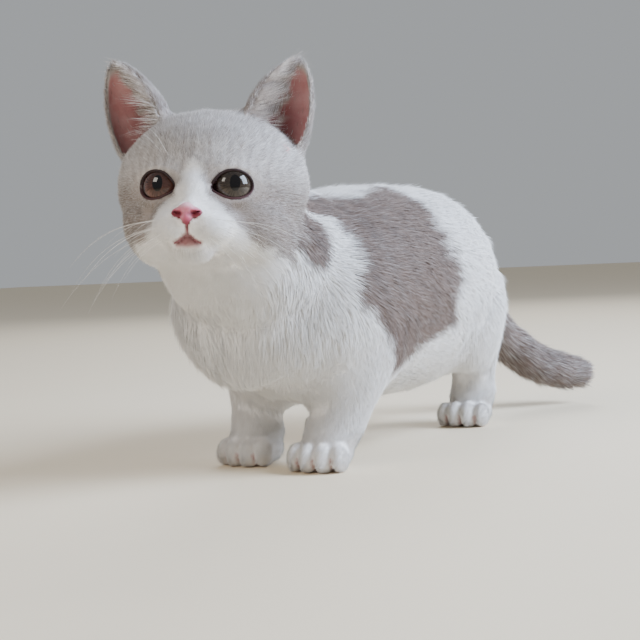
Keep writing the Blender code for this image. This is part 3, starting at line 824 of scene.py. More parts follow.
class KittenSizes(bpy.types.PropertyGroup):
    voxel: size_setting("Voxel", "Fineness of the skin", 0.85)
    skin_triangles: bpy.props.IntProperty(
        name="Skin triangles", description="How many triangles the skin keeps", default=170000, min=1000
    )
    coat_length: factor_setting("Coat length", "Factor on the length of all tufts", 1.0)
    coat_density: factor_setting("Coat density", "Factor on the number of tufts", 1.0)
    clumping: factor_setting("Clumping", "How far tufts lean together at their tips", 0.24)
    whisker_length: size_setting("Whisker length", "Longest whisker", 36.0)
    whisker_radius: size_setting("Whisker radius", "Thickest whisker", 0.066)


def colours():
    return bpy.context.scene.kitten_colours


def sizes():
    return bpy.context.scene.kitten_sizes


# Pieces


def add_ball(obj, **settings):
    """Adds a ball to an object's mesh."""
    bpy.ops.mesh.primitive_uv_sphere_add(**settings)
    select_only(obj, bpy.context.object)
    bpy.ops.object.join()


class KITTEN_OT_skin(bpy.types.Operator):
    """One closed skin inside the coat's surface, in place of all the nodes of flesh"""

    bl_idname = "kitten.skin"
    bl_label = "Skin"

    def execute(self, context):
        skin = copies_joined([*FLESH, "nose"], "skin")
        for side in (-1, 1):  # the sockets are filled, so the skin closes behind the eyeballs
            place = eye_matrix(side).translation
            add_ball(skin, segments=32, ring_count=20, radius=(EYE_RADIUS - 0.45) * MM, location=place)
        for side in (-1, 1):
            place = from_head((side * FOLD[0], *FOLD[1:]))
            turn, size = HEAD_TURN.to_euler(), [half * MM for half in FOLD_SIZE]
            add_ball(skin, segments=24, ring_count=16, radius=1.0, location=place, rotation=turn, scale=size)
        modify(skin, "DISPLACE", strength=0.25 * MM, mid_level=0.0)
        modify(skin, "REMESH", mode="VOXEL", voxel_size=sizes().voxel * MM)
        modify(skin, "SMOOTH", factor=0.5, iterations=3)
        keep_largest(skin)
        modify(skin, "DECIMATE", ratio=sizes().skin_triangles / (2 * len(skin.data.polygons)))
        sink(skin)
        finish(skin, "skin", FLESH)
        skin.data.materials.append(skin_material(colours()))
        return {"FINISHED"}


def keep_largest(obj):
    """Deletes the small closed pockets that the remesh leaves between the parts."""
    select_only(obj)
    bpy.ops.object.mode_set(mode="EDIT")
    bpy.ops.mesh.select_all(action="DESELECT")
    shape = bmesh.from_edit_mesh(obj.data)
    shape.verts.ensure_lookup_table()
    top = max(shape.verts, key=lambda vertex: vertex.co.z)
    front = [top]
    top.select_set(True)
    seen = {top.index}
    while front:
        vertex = front.pop()
        for edge in vertex.link_edges:
            other = edge.other_vert(vertex)
            if other.index not in seen:
                seen.add(other.index)
                front.append(other)
    for vertex in shape.verts:
        vertex.select_set(vertex.index not in seen)
    shape.select_flush(True)
    bmesh.update_edit_mesh(obj.data)
    bpy.ops.mesh.delete(type="VERT")
    bpy.ops.object.mode_set(mode="OBJECT")


HIDES = {}  # the skin's Hide, kept for the mouth and the coat

# How far the skin is moved, in millimetres.
DEEPEST_FILL = 2.6
UNDER_NOSE = 1.15
INNER_CORNER = ((-9.2, -0.8), (2.6, 4.2), 0.9)  # of the eye: middle, half sizes and depth
TOE_CLEFT_DEPTH = 1.35
TOE_RISE = 0.45
MOUTH_DEPTH = 0.55
LID_STANDS = (0.25, 2.4, 6.0)  # at the lids' edge, then by the share beyond it and by its square
BEHIND_LIDS = 0.9  # inside the eyeball's surface


def soften_legs(hide):
    """Rounds the shins and fills the hollows between breast and forelegs, as the coat does there."""
    height, back = body_points(hide.points)[:, 2], body_points(hide.points)[:, 1]
    shins = (hide.kinds >= LEG) * step(11, 15, height) * step(46, 34, height)
    hide.points += (hide.smoothed(hide.points, 70) - hide.points) * hide.smoothed(shins, 6)[:, None]
    outward = unit(hide.smoothed(hide.normals, 20))
    hollow = ((hide.smoothed(hide.points, 260) - hide.points) * outward).sum(1) / MM
    furred = np.isin(hide.kinds, (NECK, TRUNK, LEG))
    junction = furred * step(16, 24, height) * step(62, 50, height) * step(52, 36, back)
    fill = hide.smoothed(np.clip(hollow, 0, DEEPEST_FILL) * junction, 8)
    hide.hollow = hide.smoothed(np.clip(hollow / 2.0, 0, 1) * furred, 8)
    hide.points += outward * (1.25 * fill * MM)[:, None]
    hide.points += (hide.smoothed(hide.points, 12) - hide.points) * step(0.0, 0.4, fill)[:, None]
    hide.renew_normals()


def coat_depth(hide, body, head):
    """How deep the skin lies under the coat's surface, in millimetres."""
    depth = hide.smoothed(hide.blended("depth"), 24)
    depth *= 0.15 + 0.85 * step(1.15, 2.2, lid_share(head))
    depth *= 0.1 + 0.9 * step(1.1, 2.2, nose_share(head))
    depth += UNDER_NOSE * step(1.0, 0.85, nose_share(head)) * (hide.kinds == HEAD)
    (mid_x, mid_z), (half_x, half_z), deeper = INNER_CORNER
    for side in (-1, 1):
        x, y, z = (in_eye(head, side) * (side, 1, 1)).T
        depth += deeper * np.exp(-(((x - mid_x) / half_x) ** 2) - ((z - mid_z) / half_z) ** 2) * (y < -1)
    depth *= 0.4 + 0.6 * step(1.2, 3.5, mouth_distance(head))
    depth = np.where(hide.kinds == EAR, GROWTHS["ear"].depth, depth)
    low = (hide.kinds >= LEG) * step(26, 9, body[:, 2])
    depth = depth * (1 - low) + GROWTHS["forepaw"].depth * low
    depth = hide.smoothed(depth, 2)
    depth += (TOE_CLEFT_DEPTH * toe_cleft(body) - TOE_RISE * toe_round(body)) * (hide.kinds == PAW)
    return depth + MOUTH_DEPTH * step(0.9, 0.1, mouth_distance(head)) * (hide.kinds == HEAD)


def sink(skin):
    """Moves the skin inward by the coat's depth and stores the markings on it."""
    hide = Hide(skin)
    soften_legs(hide)
    body = body_points(hide.points)
    head = head_points(body)
    hide.face = face_share(head, hide.kinds)
    depth = coat_depth(hide, body, head)
    hide.points = hide.points - unit(hide.smoothed(hide.normals, 3)) * depth[:, None] * MM
    open_lids(hide)
    move_vertices(skin.data, hide.points)
    hide.renew_normals()
    hide.normals = unit(hide.smoothed(hide.normals, 4))
    flow = hide.laid(growth_direction(body, head, hide.normals, hide.kinds))
    hide.flow = hide.laid(hide.smoothed(flow, 14))
    # a tuft covers the skin behind its root, so it takes the markings of that place
    covered = body_points(hide.points + hide.flow * (0.5 * hide.blended("length") * MM)[:, None])
    hide.coat_grey = grey_share(covered, head_points(covered), hide.kinds)
    hide.coat_stripe = tabby(covered, head_points(covered), hide.kinds)
    hide.bare, deep = bare_share(body, head, hide)
    store(skin.data, "grey", grey_share(body, head, hide.kinds))
    store(skin.data, "stripe", tabby(body, head, hide.kinds))
    store(skin.data, "bare", hide.bare)
    store(skin.data, "deep", deep)
    store(skin.data, "rim", step(1.19, 1.11, lid_share(head)) * (hide.kinds == HEAD))
    store(skin.data, "vary", np.clip(0.4 + 0.3 * waves(body, 3, 31), 0, 1))
    HIDES["skin"] = hide


def open_lids(hide):
    """Draws the skin between the lids back behind each eyeball, and that of the lids down to it."""
    head = head_points(body_points(hide.points))
    edge, slope, curve = LID_STANDS
    for side in (-1, 1):
        middle = np.array(eye_matrix(side).translation)
        share = opening_share(in_eye(head, side), side)
        away = hide.points - middle
        reach = np.linalg.norm(away, axis=1)
        beyond = np.maximum(share - 1.0, 0)
        lid = (EYE_RADIUS + edge + slope * beyond + curve * beyond**2) * MM
        lidded = np.where(share < 1.9, np.minimum(reach, lid), reach)
        behind = np.minimum(reach, (EYE_RADIUS - BEHIND_LIDS) * MM)
        blend = step(1.13, 1.00, share)
        hide.points = middle + away / reach[:, None] * ((1 - blend) * lidded + blend * behind)[:, None]


def bare_share(body, head, hide):
    """Where the skin is bare and how red it is there: in the ears, at nose and lips and under the paws, with
    painted shade in the ears' cavity, under the nose and between the toes.
    """
    bare = np.zeros(len(body))
    deep = np.zeros(len(body))
    on_head, on_paw = hide.kinds == HEAD, hide.kinds == PAW
    for name in EARS:
        share, angle, radius, lateral = in_ear(head, name)
        mine = (hide.kinds == EAR) & ((head[:, 0] > 0) == (name == "ear_left"))
        inside = step(1.0, 0.95, radius) * step(-5, -16, angle - ear_spread(share)) * step(0.93, 0.84, share)
        bare = np.where(mine, inside * step(-0.35, 0.25, lateral + 0.25 * waves(head, 6, 61)), bare)
        # the ear's skin is part way to the deep red, and painted shade deepens it toward the base of the cup
        deep = np.where(mine, 0.45 + 0.55 * step(0.8, 0.15, share) * step(1.0, 0.0, lateral), deep)
    mirrored = np.abs(head[:, :1]) * (1, 0, 0) + head * (0, 1, 1)
    fold = np.linalg.norm((mirrored - np.array(FOLD)) / FOLD_SIZE, axis=1)
    bare = np.maximum(bare, 0.9 * step(1.7, 1.25, fold))
    # painted shade: dark red bare skin in the hollow under the nose leather
    under_nose = step(1.0, 0.90, nose_share(head)) * step(-9.3, -10.3, head[:, 2]) * on_head
    bare = np.maximum(bare, under_nose)
    across = np.abs(head[:, 0])
    below = head[:, 2] - along(reversed(MOUTH_RUN), across)
    lips = step(0.3, -0.2, below) * step(-24.4, -22.0, head[:, 2]) * step(5.4, 3.8, across)
    lips *= head[:, 1] < -26
    groove = step(0.9, 0.4, mouth_distance(head))
    bare = np.maximum(bare, np.maximum(0.95 * lips, 0.8 * groove) * on_head)
    deep = np.where(on_head, 0.45 * step(1.2, 0.2, mouth_distance(head)) + 0.74 * lips, deep)
    deep = np.maximum(deep, under_nose)
    # between the toes: bare pink skin, with painted shade of the deep colour in the clefts
    cleft = toe_cleft(body) * on_paw * step(9, 4, body[:, 2])
    bare = np.maximum(bare, 0.8 * step(0.35, 0.9, cleft))
    deep = np.maximum(deep, 0.5 * cleft)
    soles = on_paw & (hide.normals[:, 2] < -0.9) & (body[:, 2] < 1.6)
    bare = np.where(soles, 0.8, bare)
    return bare, deep


CORNEA_RISE = 0.55
# By side, the share of EYE_OUTWARD that each eye turns back, so that both look at the viewer on the left.
GAZE = {1: -0.15, -1: 0.72}
GAZE_UP = math.radians(-2)


def map_eye(mesh, points):
    """Maps an eyeball by the angle from the middle of its iris, which lies in the middle of the map."""
    eye_map = mesh.uv_layers.new(name="eye")
    mesh.uv_layers.active = eye_map
    loops = read(mesh.loops, "vertex_index", 1, np.int32)[:, 0]
    reach = np.arccos(np.clip(-unit(points)[:, 1], -1, 1)) / (math.pi / 2)
    across = unit(points[:, [0, 2]]) * np.minimum(reach, 0.98)[:, None] * 0.5
    eye_map.data.foreach_set("uv", (across + 0.5)[loops].astype(np.float32).ravel())
    for layer in [layer for layer in mesh.uv_layers if layer.name != "eye"]:
        mesh.uv_layers.remove(layer)


class KITTEN_OT_eyes(bpy.types.Operator):
    """Two eyeballs, each with a cornea that stands out over its iris"""

    bl_idname = "kitten.eyes"
    bl_label = "Eyes"

    def execute(self, context):
        for name, side in (("eye_left", 1), ("eye_right", -1)):
            bpy.ops.object.select_all(action="DESELECT")
            bpy.ops.mesh.primitive_uv_sphere_add(
                segments=64, ring_count=40, radius=EYE_RADIUS * MM, location=(0, 0, 0),
                rotation=(math.pi / 2, 0, 0)
            )
            ball = bpy.context.object
            bpy.ops.object.transform_apply(location=True, rotation=True, scale=True)
            points = read(ball.data.vertices, "co", 3)
            out = -points[:, 1] / (EYE_RADIUS * MM)
            points[:, 1] -= CORNEA_RISE * MM * step(0.62, 0.95, out)
            move_vertices(ball.data, points)
            map_eye(ball.data, points)
            aim = Matrix.Rotation(-side * EYE_OUTWARD * GAZE[side], 4, "Z")
            ball.matrix_world = eye_matrix(side) @ (aim @ Matrix.Rotation(GAZE_UP, 4, "X"))
            finish(ball, name + "_ball", (name,))
            ball.data.materials.append(eye_material(colours(), side))
        return {"FINISHED"}


# The lids' edge, in millimetres.
LID_GROW = 0.18  # how far outside the opening its middle runs
LID_OUTER = 0.68  # a line further out, which gives the way across it
LID_STAND = 0.42  # how far it stands off the eyeball
CORNER_STAND = 0.8  # how much further at the inner corner
LID_WIDTH = 0.38  # half its width, and what the upper lid's has more
UPPER_WIDTH = 0.14
LID_HEIGHT = 0.58  # half its height
RING_RADIUS = 0.1  # of the plain ring that it is made from


def lid_point(side, angle, radius, grow):
    """A point of the lids' edge, in the eyeball's frame in millimetres, drawn out to the inner corner."""
    inner = max(0.0, -math.cos(angle))
    x = (EYE_OPENING[0] + grow) * math.cos(angle) - 1.1 * inner**7
    z = (EYE_OPENING[1] + grow) * math.sin(angle) - 1.0 * inner**5
    x = side * (x + OPENING_SHIFT)
    y = -math.sqrt(max(radius**2 - x * x - z * z, 1.0))
    return Vector((x, y, z))


def lid_edge(point, side):
    """Where a point of the plain ring comes to lie on the lids' edge, in the eyeball's frame."""
    angle = math.atan2(point[1], point[0])
    out = (math.hypot(point[0], point[1]) - 1.0) / RING_RADIUS
    up = point[2] / RING_RADIUS
    stand = EYE_RADIUS + LID_STAND + CORNER_STAND * max(0.0, -math.cos(angle)) ** 3
    base = lid_point(side, angle, stand, LID_GROW)
    across = (lid_point(side, angle, stand, LID_OUTER) - base).normalized()
    wide = LID_WIDTH + UPPER_WIDTH * max(0.0, math.sin(angle))
    return base + across * out * wide + base.normalized() * up * LID_HEIGHT


class KITTEN_OT_lids(bpy.types.Operator):
    """The bare dark edges of the lids, which close onto each eyeball"""

    bl_idname = "kitten.lids"
    bl_label = "Lid edges"

    def execute(self, context):
        for name, side in (("lid_edge_left", 1), ("lid_edge_right", -1)):
            bpy.ops.object.select_all(action="DESELECT")
            bpy.ops.mesh.primitive_torus_add(
                major_segments=72, minor_segments=12, major_radius=1.0, minor_radius=RING_RADIUS,
                location=(0, 0, 0)
            )
            rim = bpy.context.object
            points = read(rim.data.vertices, "co", 3)
            place = eye_matrix(side)
            move_vertices(rim.data, [tuple(place @ (lid_edge(point, side) * MM)) for point in points])
            angles = np.arctan2(points[:, 1], points[:, 0])
            store(rim.data, "pale", 0.10 * step(0.3, -0.6, np.sin(angles)))
            bpy.ops.object.mode_set(mode="EDIT")
            bpy.ops.mesh.select_all(action="SELECT")
            bpy.ops.mesh.normals_make_consistent(inside=False)
            bpy.ops.object.mode_set(mode="OBJECT")
            finish(rim, name)
            rim.data.materials.append(plain_skin("lid_skin", colours().lid, 0.6, 900.0, colours().lip))
        return {"FINISHED"}


# A factor on the nose's width at each height: its wings are widest low down and its top runs up into the fur
# of the bridge. Then the middle and half sizes of a nostril, which slants a little.
NOSE_WIDTHS = [(-15.0, 1.0), (-12.0, 1.06), (-10.5, 0.96), (-9.0, 0.78), (-7.5, 0.62)]
NOSTRIL = ((3.6, -12.0), (2.8, 1.15))
NOSTRIL_SLANT = 0.10


class KITTEN_OT_nose(bpy.types.Operator):
    """The nose leather, smoothed from its solid, with painted shade in its nostrils"""

    bl_idname = "kitten.nose"
    bl_label = "Nose"

    def execute(self, context):
        nose = copies_joined(["nose"], "nose")
        modify(nose, "DISPLACE", strength=0.12 * MM, mid_level=0.0)
        modify(nose, "REMESH", mode="VOXEL", voxel_size=0.22 * MM)
        modify(nose, "SMOOTH", factor=0.5, iterations=5)
        points = head_points(body_points(read(nose.data.vertices, "co", 3)))
        points[:, 0] *= along(NOSE_WIDTHS, points[:, 2])
        turned = points @ np.array(HEAD_TURN).T + np.array(HEAD_CENTRE) + np.array(ORIGIN)
        move_vertices(nose.data, turned * MM)
        across, height = np.abs(points[:, 0]), points[:, 2]
        (mid_x, mid_z), (half_x, half_z) = NOSTRIL
        slit = mid_z + NOSTRIL_SLANT * (across - 2.5)
        hole = np.hypot((across - mid_x) / half_x, (height - slit) / half_z)
        hole = np.where(points[:, 1] < -34, hole, FAR)
        # painted shade: dark in the nostril openings, and darker toward the leather's bottom
        store(nose.data, "deep", np.maximum(step(1.3, 0.45, hole), 0.7 * step(-13.0, -15.4, height)))
        store(nose.data, "pale", step(-10.9, -8.9, height))
        finish(nose, "nose_pad", ("nose",))
        nose.data.materials.append(leather_material(colours()))
        return {"FINISHED"}


def tubes(name, lines, sides=5):
    """One mesh of closed tapered tubes. Each line is (points in metres, root radius in metres)."""
    verts, faces = [], []
    for points, radius in lines:
        count = len(points)
        start = len(verts)
        for i, point in enumerate(points):
            ahead = (points[min(i + 1, count - 1)] - points[max(i - 1, 0)]).normalized()
            side = ahead.orthogonal().normalized()
            up = ahead.cross(side)
            thin = radius * (1 - i / (count - 1)) ** 0.7 + radius * 0.08
            for k in range(sides):
                turn = 2 * math.pi * k / sides
                verts.append(point + (side * math.cos(turn) + up * math.sin(turn)) * thin)
        for i in range(count - 1):
            for k in range(sides):
                a, b = start + i * sides + k, start + i * sides + (k + 1) % sides
                faces.append((a, b, b + sides, a + sides))
        faces.append(tuple(start + k for k in reversed(range(sides))))
        faces.append(tuple(start + (count - 1) * sides + k for k in range(sides)))
    mesh = bpy.data.meshes.new(name)
    mesh.from_pydata([tuple(v) for v in verts], [], faces)
    obj = bpy.data.objects.new(name, mesh)
    bpy.context.scene.collection.objects.link(obj)
    return obj


class KITTEN_OT_whiskers(bpy.types.Operator):
    """Whiskers on the pads of the muzzle and over the eyes, drooping a little"""

    bl_idname = "kitten.whiskers"
    bl_label = "Whiskers"

    def execute(self, context):
        rng = np.random.default_rng(11)
        lines = []
        for side in (-1, 1):
            for row in range(4):
                for k in range(4):
                    start = Vector((side * (5.5 + 2.3 * k + 0.4 * row), -34.5 + 1.5 * k, -13.2 - 2.1 * row))
                    length = sizes().whisker_length * (0.55 + 0.15 * k) * rng.uniform(0.85, 1.05)
                    way = Vector((side * (1.0 + 0.1 * k), -0.30 + 0.22 * k, -0.06 - 0.20 * row))
                    lines.append(whisker(start, way, length, rng, 1.0))
            for k in range(3):
                start = Vector((side * (9.5 + 2.2 * k), -28.5 + 1.5 * k, 10.5 + 0.6 * k))
                way = Vector((side * (0.55 + 0.3 * k), -0.35, 1.0))
                lines.append(whisker(start, way, 17 * rng.uniform(0.8, 1.1), rng, 0.7))
        obj = tubes("whiskers", lines)
        finish(obj, "whiskers")
        keratin = hair_material("whisker_keratin", 0.3, colours().whisker_shade, colours().whisker)
        obj.data.materials.append(keratin)
        return {"FINISHED"}


def whisker(start, way, length, rng, thick):
    """Points of a whisker in metres that droops toward its tip, and its root's radius."""
    way = way.normalized()
    wander = Vector(rng.normal(size=3) * 0.06)
    points = []
    for i in range(10):
        t = i / 9
        droop = Vector((0, 0, -1)) * 0.42 * t * t
        points.append(from_head(start + (way + wander * t + droop) * length * t))
    return points, sizes().whisker_radius * thick * MM


MOUTH_POINTS = 17  # along each line
PHILTRUM_TOP = -15.2
PHILTRUM_LENGTH = 5.0
LIP_RADIUS = 0.27


class KITTEN_OT_mouth(bpy.types.Operator):
    """The pink edge of the lips along the philtrum and the line of the mouth"""

    bl_idname = "kitten.mouth"
    bl_label = "Mouth"

    def execute(self, context):
        hide = HIDES["skin"]
        tree = BVHTree.FromPolygons([Vector(p) for p in hide.points], [tuple(t) for t in hide.triangles])
        forward = HEAD_TURN @ Vector((0, -1, 0))
        steps = np.arange(MOUTH_POINTS) / (MOUTH_POINTS - 1)
        runs = [[(0, PHILTRUM_TOP - PHILTRUM_LENGTH * t) for t in steps]]
        for side in (-1, 1):
            across = np.linspace(MOUTH_RUN[0][0], 0, MOUTH_POINTS)
            runs.append([(side * x, z) for x, z in zip(across, along(reversed(MOUTH_RUN), across))])
        lines = []
        for run in runs:
            points = [tree.ray_cast(from_head((x, -70, z)), -forward)[0] for x, z in run]
            lines.append((points, LIP_RADIUS * MM))
        obj = tubes("mouth_line", lines, 6)
        finish(obj, "mouth_line")
        obj.data.materials.append(plain_skin("lip_skin", colours().lip, 0.6, 1500.0))
        return {"FINISHED"}


PAD_HEIGHT = 1.25
SOLE_PAD = ((0, 3.6), (5.6, 4.2))  # middle, across the paw and backward, and half sizes
TOE_PADS = (-7.6, -2.7, 2.7, 7.6)  # places across the paw
TOE_PAD_SIZE = (1.9, 2.3)


class KITTEN_OT_pads(bpy.types.Operator):
    """The pads under the paws, on which the kitten stands"""

    bl_idname = "kitten.pads"
    bl_label = "Pads"

    def execute(self, context):
        made = []
        for x, y, heading in PAWS.values():
            turn = Matrix.Rotation(math.radians(heading), 3, "Z")
            beans = [SOLE_PAD]
            beans += [((across, -4.6 + abs(across) * 0.28), TOE_PAD_SIZE) for across in TOE_PADS]
            for (px, py), (rx, ry) in beans:
                centre = turn @ Vector((px, py, 0)) + Vector((x, y, PAD_HEIGHT))
                bpy.ops.mesh.primitive_uv_sphere_add(
                    segments=20, ring_count=12, radius=1.0, location=from_body(centre),
                    rotation=(0, 0, math.radians(heading)), scale=(rx * MM, ry * MM, PAD_HEIGHT * MM)
                )
                made.append(bpy.context.object)
        select_only(*made)
        bpy.ops.object.join()
        pads = bpy.context.object
        finish(pads, "paw_pads")
        pads.data.materials.append(plain_skin("pad_skin", colours().pad, 0.6, 1300.0))
        return {"FINISHED"}


# Coat


FACE_BACK = -11  # where the face's tufts end, in the head's millimetres
WAIST = 78  # between shoulder and loin
HIP = (62, 50)  # between the forelegs and the hind legs, on the left and on the right


def coat_regions(hide, body, head):
    """Name, mask of the skin's triangles and whether its tufts are bent, for each piece of the coat."""
    middle = body[hide.triangles].mean(1)
    face = head[hide.triangles].mean(1)
    kinds = hide.kinds[hide.triangles[:, 0]]
    y = middle[:, 1]
    left = middle[:, 0] > 1
    trunk = kinds == TRUNK
    fore = y < np.where(middle[:, 0] < 0, HIP[1], HIP[0])
    return [
        ("coat_face", (kinds == HEAD) & (face[:, 1] < FACE_BACK), False),
        ("coat_crown", (kinds == HEAD) & (face[:, 1] >= FACE_BACK), False),
        ("coat_ears", kinds == EAR, False),
        ("coat_neck", kinds == NECK, True),
        ("coat_shoulder_left", trunk & left & (y < WAIST), True),
        ("coat_shoulder_right", trunk & ~left & (y < WAIST), True),
        ("coat_loin_left", trunk & left & (y >= WAIST), True),
        ("coat_loin_right", trunk & ~left & (y >= WAIST), True),
        ("coat_forelegs", (kinds == LEG) & fore, False),
        ("coat_hindlegs", (kinds == LEG) & ~fore, False),
        ("coat_paws", kinds == PAW, False),
        ("coat_tail", kinds == TAIL, True),
    ]


MOST_TRIANGLES = 196000  # in one piece
PATCH = 0.003  # how large a tuft is on the map
STRAYS = 0.08  # share of the tufts that stand out of the coat, longer and thinner than the rest
LOCK = 12  # tufts that lean together
ROOT_DEPTH = 0.3
OFF_FLOOR = (0.25, 0.15)  # how near the floor a tuft's middle and its tip come, in millimetres


class Shape:
    """How one tuft is built: its faces, those of them that lie against the skin, and for each corner its
    share of the length, the turn of its shading and its place on the map."""

    def __init__(self, faces, under, along, bulge, patch):
        self.faces = faces
        self.corners = np.concatenate([np.array(face) for face in faces])
        self.under = np.concatenate([np.full(len(face), i in under) for i, face in enumerate(faces)])
        self.count = len(along)
        self.along = np.array(along, np.float32)
        self.bulge = np.array(bulge, float)
        self.patch = np.array(patch, float)
        self.triangles = sum(len(face) - 2 for face in faces)


BENT = Shape(
    [(0, 2, 1), (0, 3, 2), (0, 1, 3), (1, 2, 4), (2, 3, 4), (3, 1, 4)], (0, 3),
    [0, 0.45, 0.45, 0.45, 1.0], [0, -0.16, 0.16, 0, 0], [(0, -1), (-1, 0), (1, 0), (0, 0), (0, 1)],
)
STRAIGHT = Shape(
    [(0, 1, 3), (1, 2, 3), (2, 0, 3), (0, 2, 1)], (0,),
    [0, 0, 0, 1.0], [-0.2, 0.2, 0, 0], [(-1, -1), (1, -1), (0, -0.5), (0, 1)],
)


def unwrap(points, triangles, name):
    """Unwraps these triangles of the skin by angle and returns the map's coordinates at each corner."""
    used, again = np.unique(triangles, return_inverse=True)
    mesh = bpy.data.meshes.new(name)
    mesh.from_pydata(points[used].tolist(), [], again.reshape(-1, 3).tolist())
    obj = bpy.data.objects.new(name, mesh)
    bpy.context.scene.collection.objects.link(obj)
    select_only(obj)
    bpy.ops.object.mode_set(mode="EDIT")
    bpy.ops.mesh.select_all(action="SELECT")
    bpy.ops.uv.smart_project(angle_limit=math.radians(66), island_margin=0.006)
    bpy.ops.object.mode_set(mode="OBJECT")
    corners = np.empty(len(mesh.loops) * 2, np.float32)
    mesh.uv_layers.active.data.foreach_get("uv", corners)
    bpy.data.objects.remove(obj)
    corners = corners.reshape(-1, 3, 2).astype(float)
    low, high = corners.min((0, 1)), corners.max((0, 1))
    return 0.01 + 0.98 * (corners - low) / (high - low)


class Roots:
    """Roots of tufts, scattered evenly over some of the skin's triangles."""

    def __init__(self, hide, triangles, most, rng):
        a, b, c = (hide.points[triangles[:, i]] for i in range(3))
        area = np.linalg.norm(np.cross(b - a, c - a), axis=1) / 2 / MM**2
        weights = area * hide.density[triangles].mean(1)
        wanted = weights.sum() * sizes().coat_density * 1.0
        self.count = min(int(wanted), most)
        total = np.cumsum(weights)
        marks = (np.arange(self.count) + rng.uniform(0, 1, self.count)) * total[-1] / self.count
        self.triangle = np.minimum(np.searchsorted(total, marks), len(triangles) - 1)
        u, v = np.sqrt(rng.uniform(size=self.count)), rng.uniform(size=self.count)
        self.shares = np.stack([1 - u, u * (1 - v), u * v], 1)
        self.corners = triangles[self.triangle]

    def read(self, values):
        """At each root, what the skin's vertices hold."""
        weights = self.shares if values.ndim == 1 else self.shares[..., None]
        return (values[self.corners] * weights).sum(1)


def lean_together(root, middle, tip, rng):
    """Leans the tufts' middles and tips toward those of the nearest leader, so they lie in locks."""
    count = len(root)
    leaders = rng.choice(count, max(1, count // LOCK), replace=False)
    tree = KDTree(len(leaders))
    for i, leader in enumerate(leaders):
        tree.insert(root[leader], i)
    tree.balance()
    leader = leaders[np.array([tree.find(point)[1] for point in root])]
    lean = sizes().clumping * rng.uniform(0.2, 1.0, count)[:, None]
    tip = tip + (tip[leader] + (root - root[leader]) * 0.3 - tip) * lean
    middle = middle + ((root + tip)[leader] / 2 - middle) * lean * 0.2
    return middle, tip


def tufts(hide, chosen, name, shape, seed):
    """One piece of the coat: tapered closed tufts that lie along the body and overlap."""
    rng = np.random.default_rng(seed)
    triangles = hide.triangles[chosen]
    places = unwrap(hide.points, triangles, name)
    roots = Roots(hide, triangles, MOST_TRIANGLES // shape.triangles, rng)
    count = roots.count
    root = roots.read(hide.points)
    normal = unit(roots.read(hide.normals))
    flow = roots.read(hide.flow)
    flow = unit(flow - normal * (flow * normal).sum(1, keepdims=True))
    side = np.cross(normal, flow)
    body = body_points(root)
    stray = rng.uniform(size=count) < STRAYS
    length = roots.read(hide.length) * rng.uniform(0.70, 1.15, count) * sizes().coat_length
    length = np.where(stray, length * 1.12, length) * MM
    width = roots.read(hide.width) * rng.uniform(0.75, 1.2, count) * MM
    width = np.where(stray, width * 0.5, width) * 1.0
    lift = np.radians(roots.read(hide.lift) * rng.uniform(0.6, 1.3, count) + 8 * stray)
    lift *= 1 + 0.25 * waves(body, 9, 51)
    sway = np.radians(8 * waves(body, 15, 52) + 4 * waves(body, 5, 53) + rng.normal(0, 5, count))
    flow = flow * np.cos(sway)[:, None] + side * np.sin(sway)[:, None]
    side = np.cross(normal, flow)
    out = flow * np.cos(lift)[:, None] + normal * np.sin(lift)[:, None]
    low = root - normal * ROOT_DEPTH * MM
    middle = root + length[:, None] * (0.42 * out + 0.12 * np.sin(lift)[:, None] * normal)
    tip = root + length[:, None] * out
    middle, tip = lean_together(root, middle, tip, rng)
    for row, least in zip((middle, tip), OFF_FLOOR):
        row[:, 2] = np.maximum(row[:, 2], least * MM)
    thick = normal * (width * 0.28)[:, None]
    half = side * (width * 0.5)[:, None]
    if shape is BENT:
        rows = [low, middle - half, middle + half, middle + thick, tip]
    else:
        rows = [low - half, low + half, low + thick, tip]
    mesh = mesh_of(name, np.stack(rows, 1).reshape(-1, 3), shape, count)
    # the light falls on the coat as a whole, so a tuft's shading follows the body under it
    upper = unit(normal[:, None] + side[:, None] * shape.bulge[None, :, None] - 0.12 * flow[:, None])
    lower = unit(0.7 * flow + 0.7 * normal)
    shading = np.where(shape.under[None, :, None], lower[:, None], upper[:, shape.corners])
    mesh.normals_split_custom_set(shading.reshape(-1, 3))
    # each tuft is a small patch on the map, at its root's place
    place = (places[roots.triangle] * roots.shares[..., None]).sum(1)
    uv = np.clip(place, PATCH, 1 - PATCH)[:, None] + shape.patch[None] * PATCH / 2
    layer = mesh.uv_layers.new(name="OFBake")
    loops = read(mesh.loops, "vertex_index", 1, np.int32)[:, 0]
    layer.data.foreach_set("uv", uv.reshape(-1, 2)[loops].astype(np.float32).ravel())
    grey = roots.read(hide.coat_grey)
    mixed = step(0.05, 0.25, grey) * (0.07 + 0.10 * (grey < 0.98))
    grey = np.clip(grey + rng.normal(0, 1, count) * mixed, 0, 1)
    vary = np.clip(0.42 + 0.3 * waves(body, 3.2, 54) + rng.normal(0, 0.22, count), 0, 1)
    for key, values in (("grey", grey), ("stripe", roots.read(hide.coat_stripe)), ("vary", vary)):
        store(mesh, key, np.repeat(values, shape.count))
    store(mesh, "along", np.tile(shape.along, count))
    obj = bpy.data.objects.new(name, mesh)
    bpy.context.scene.collection.objects.link(obj)
    finish(obj, name)
    obj.data.materials.append(coat_material(colours()))
    return obj


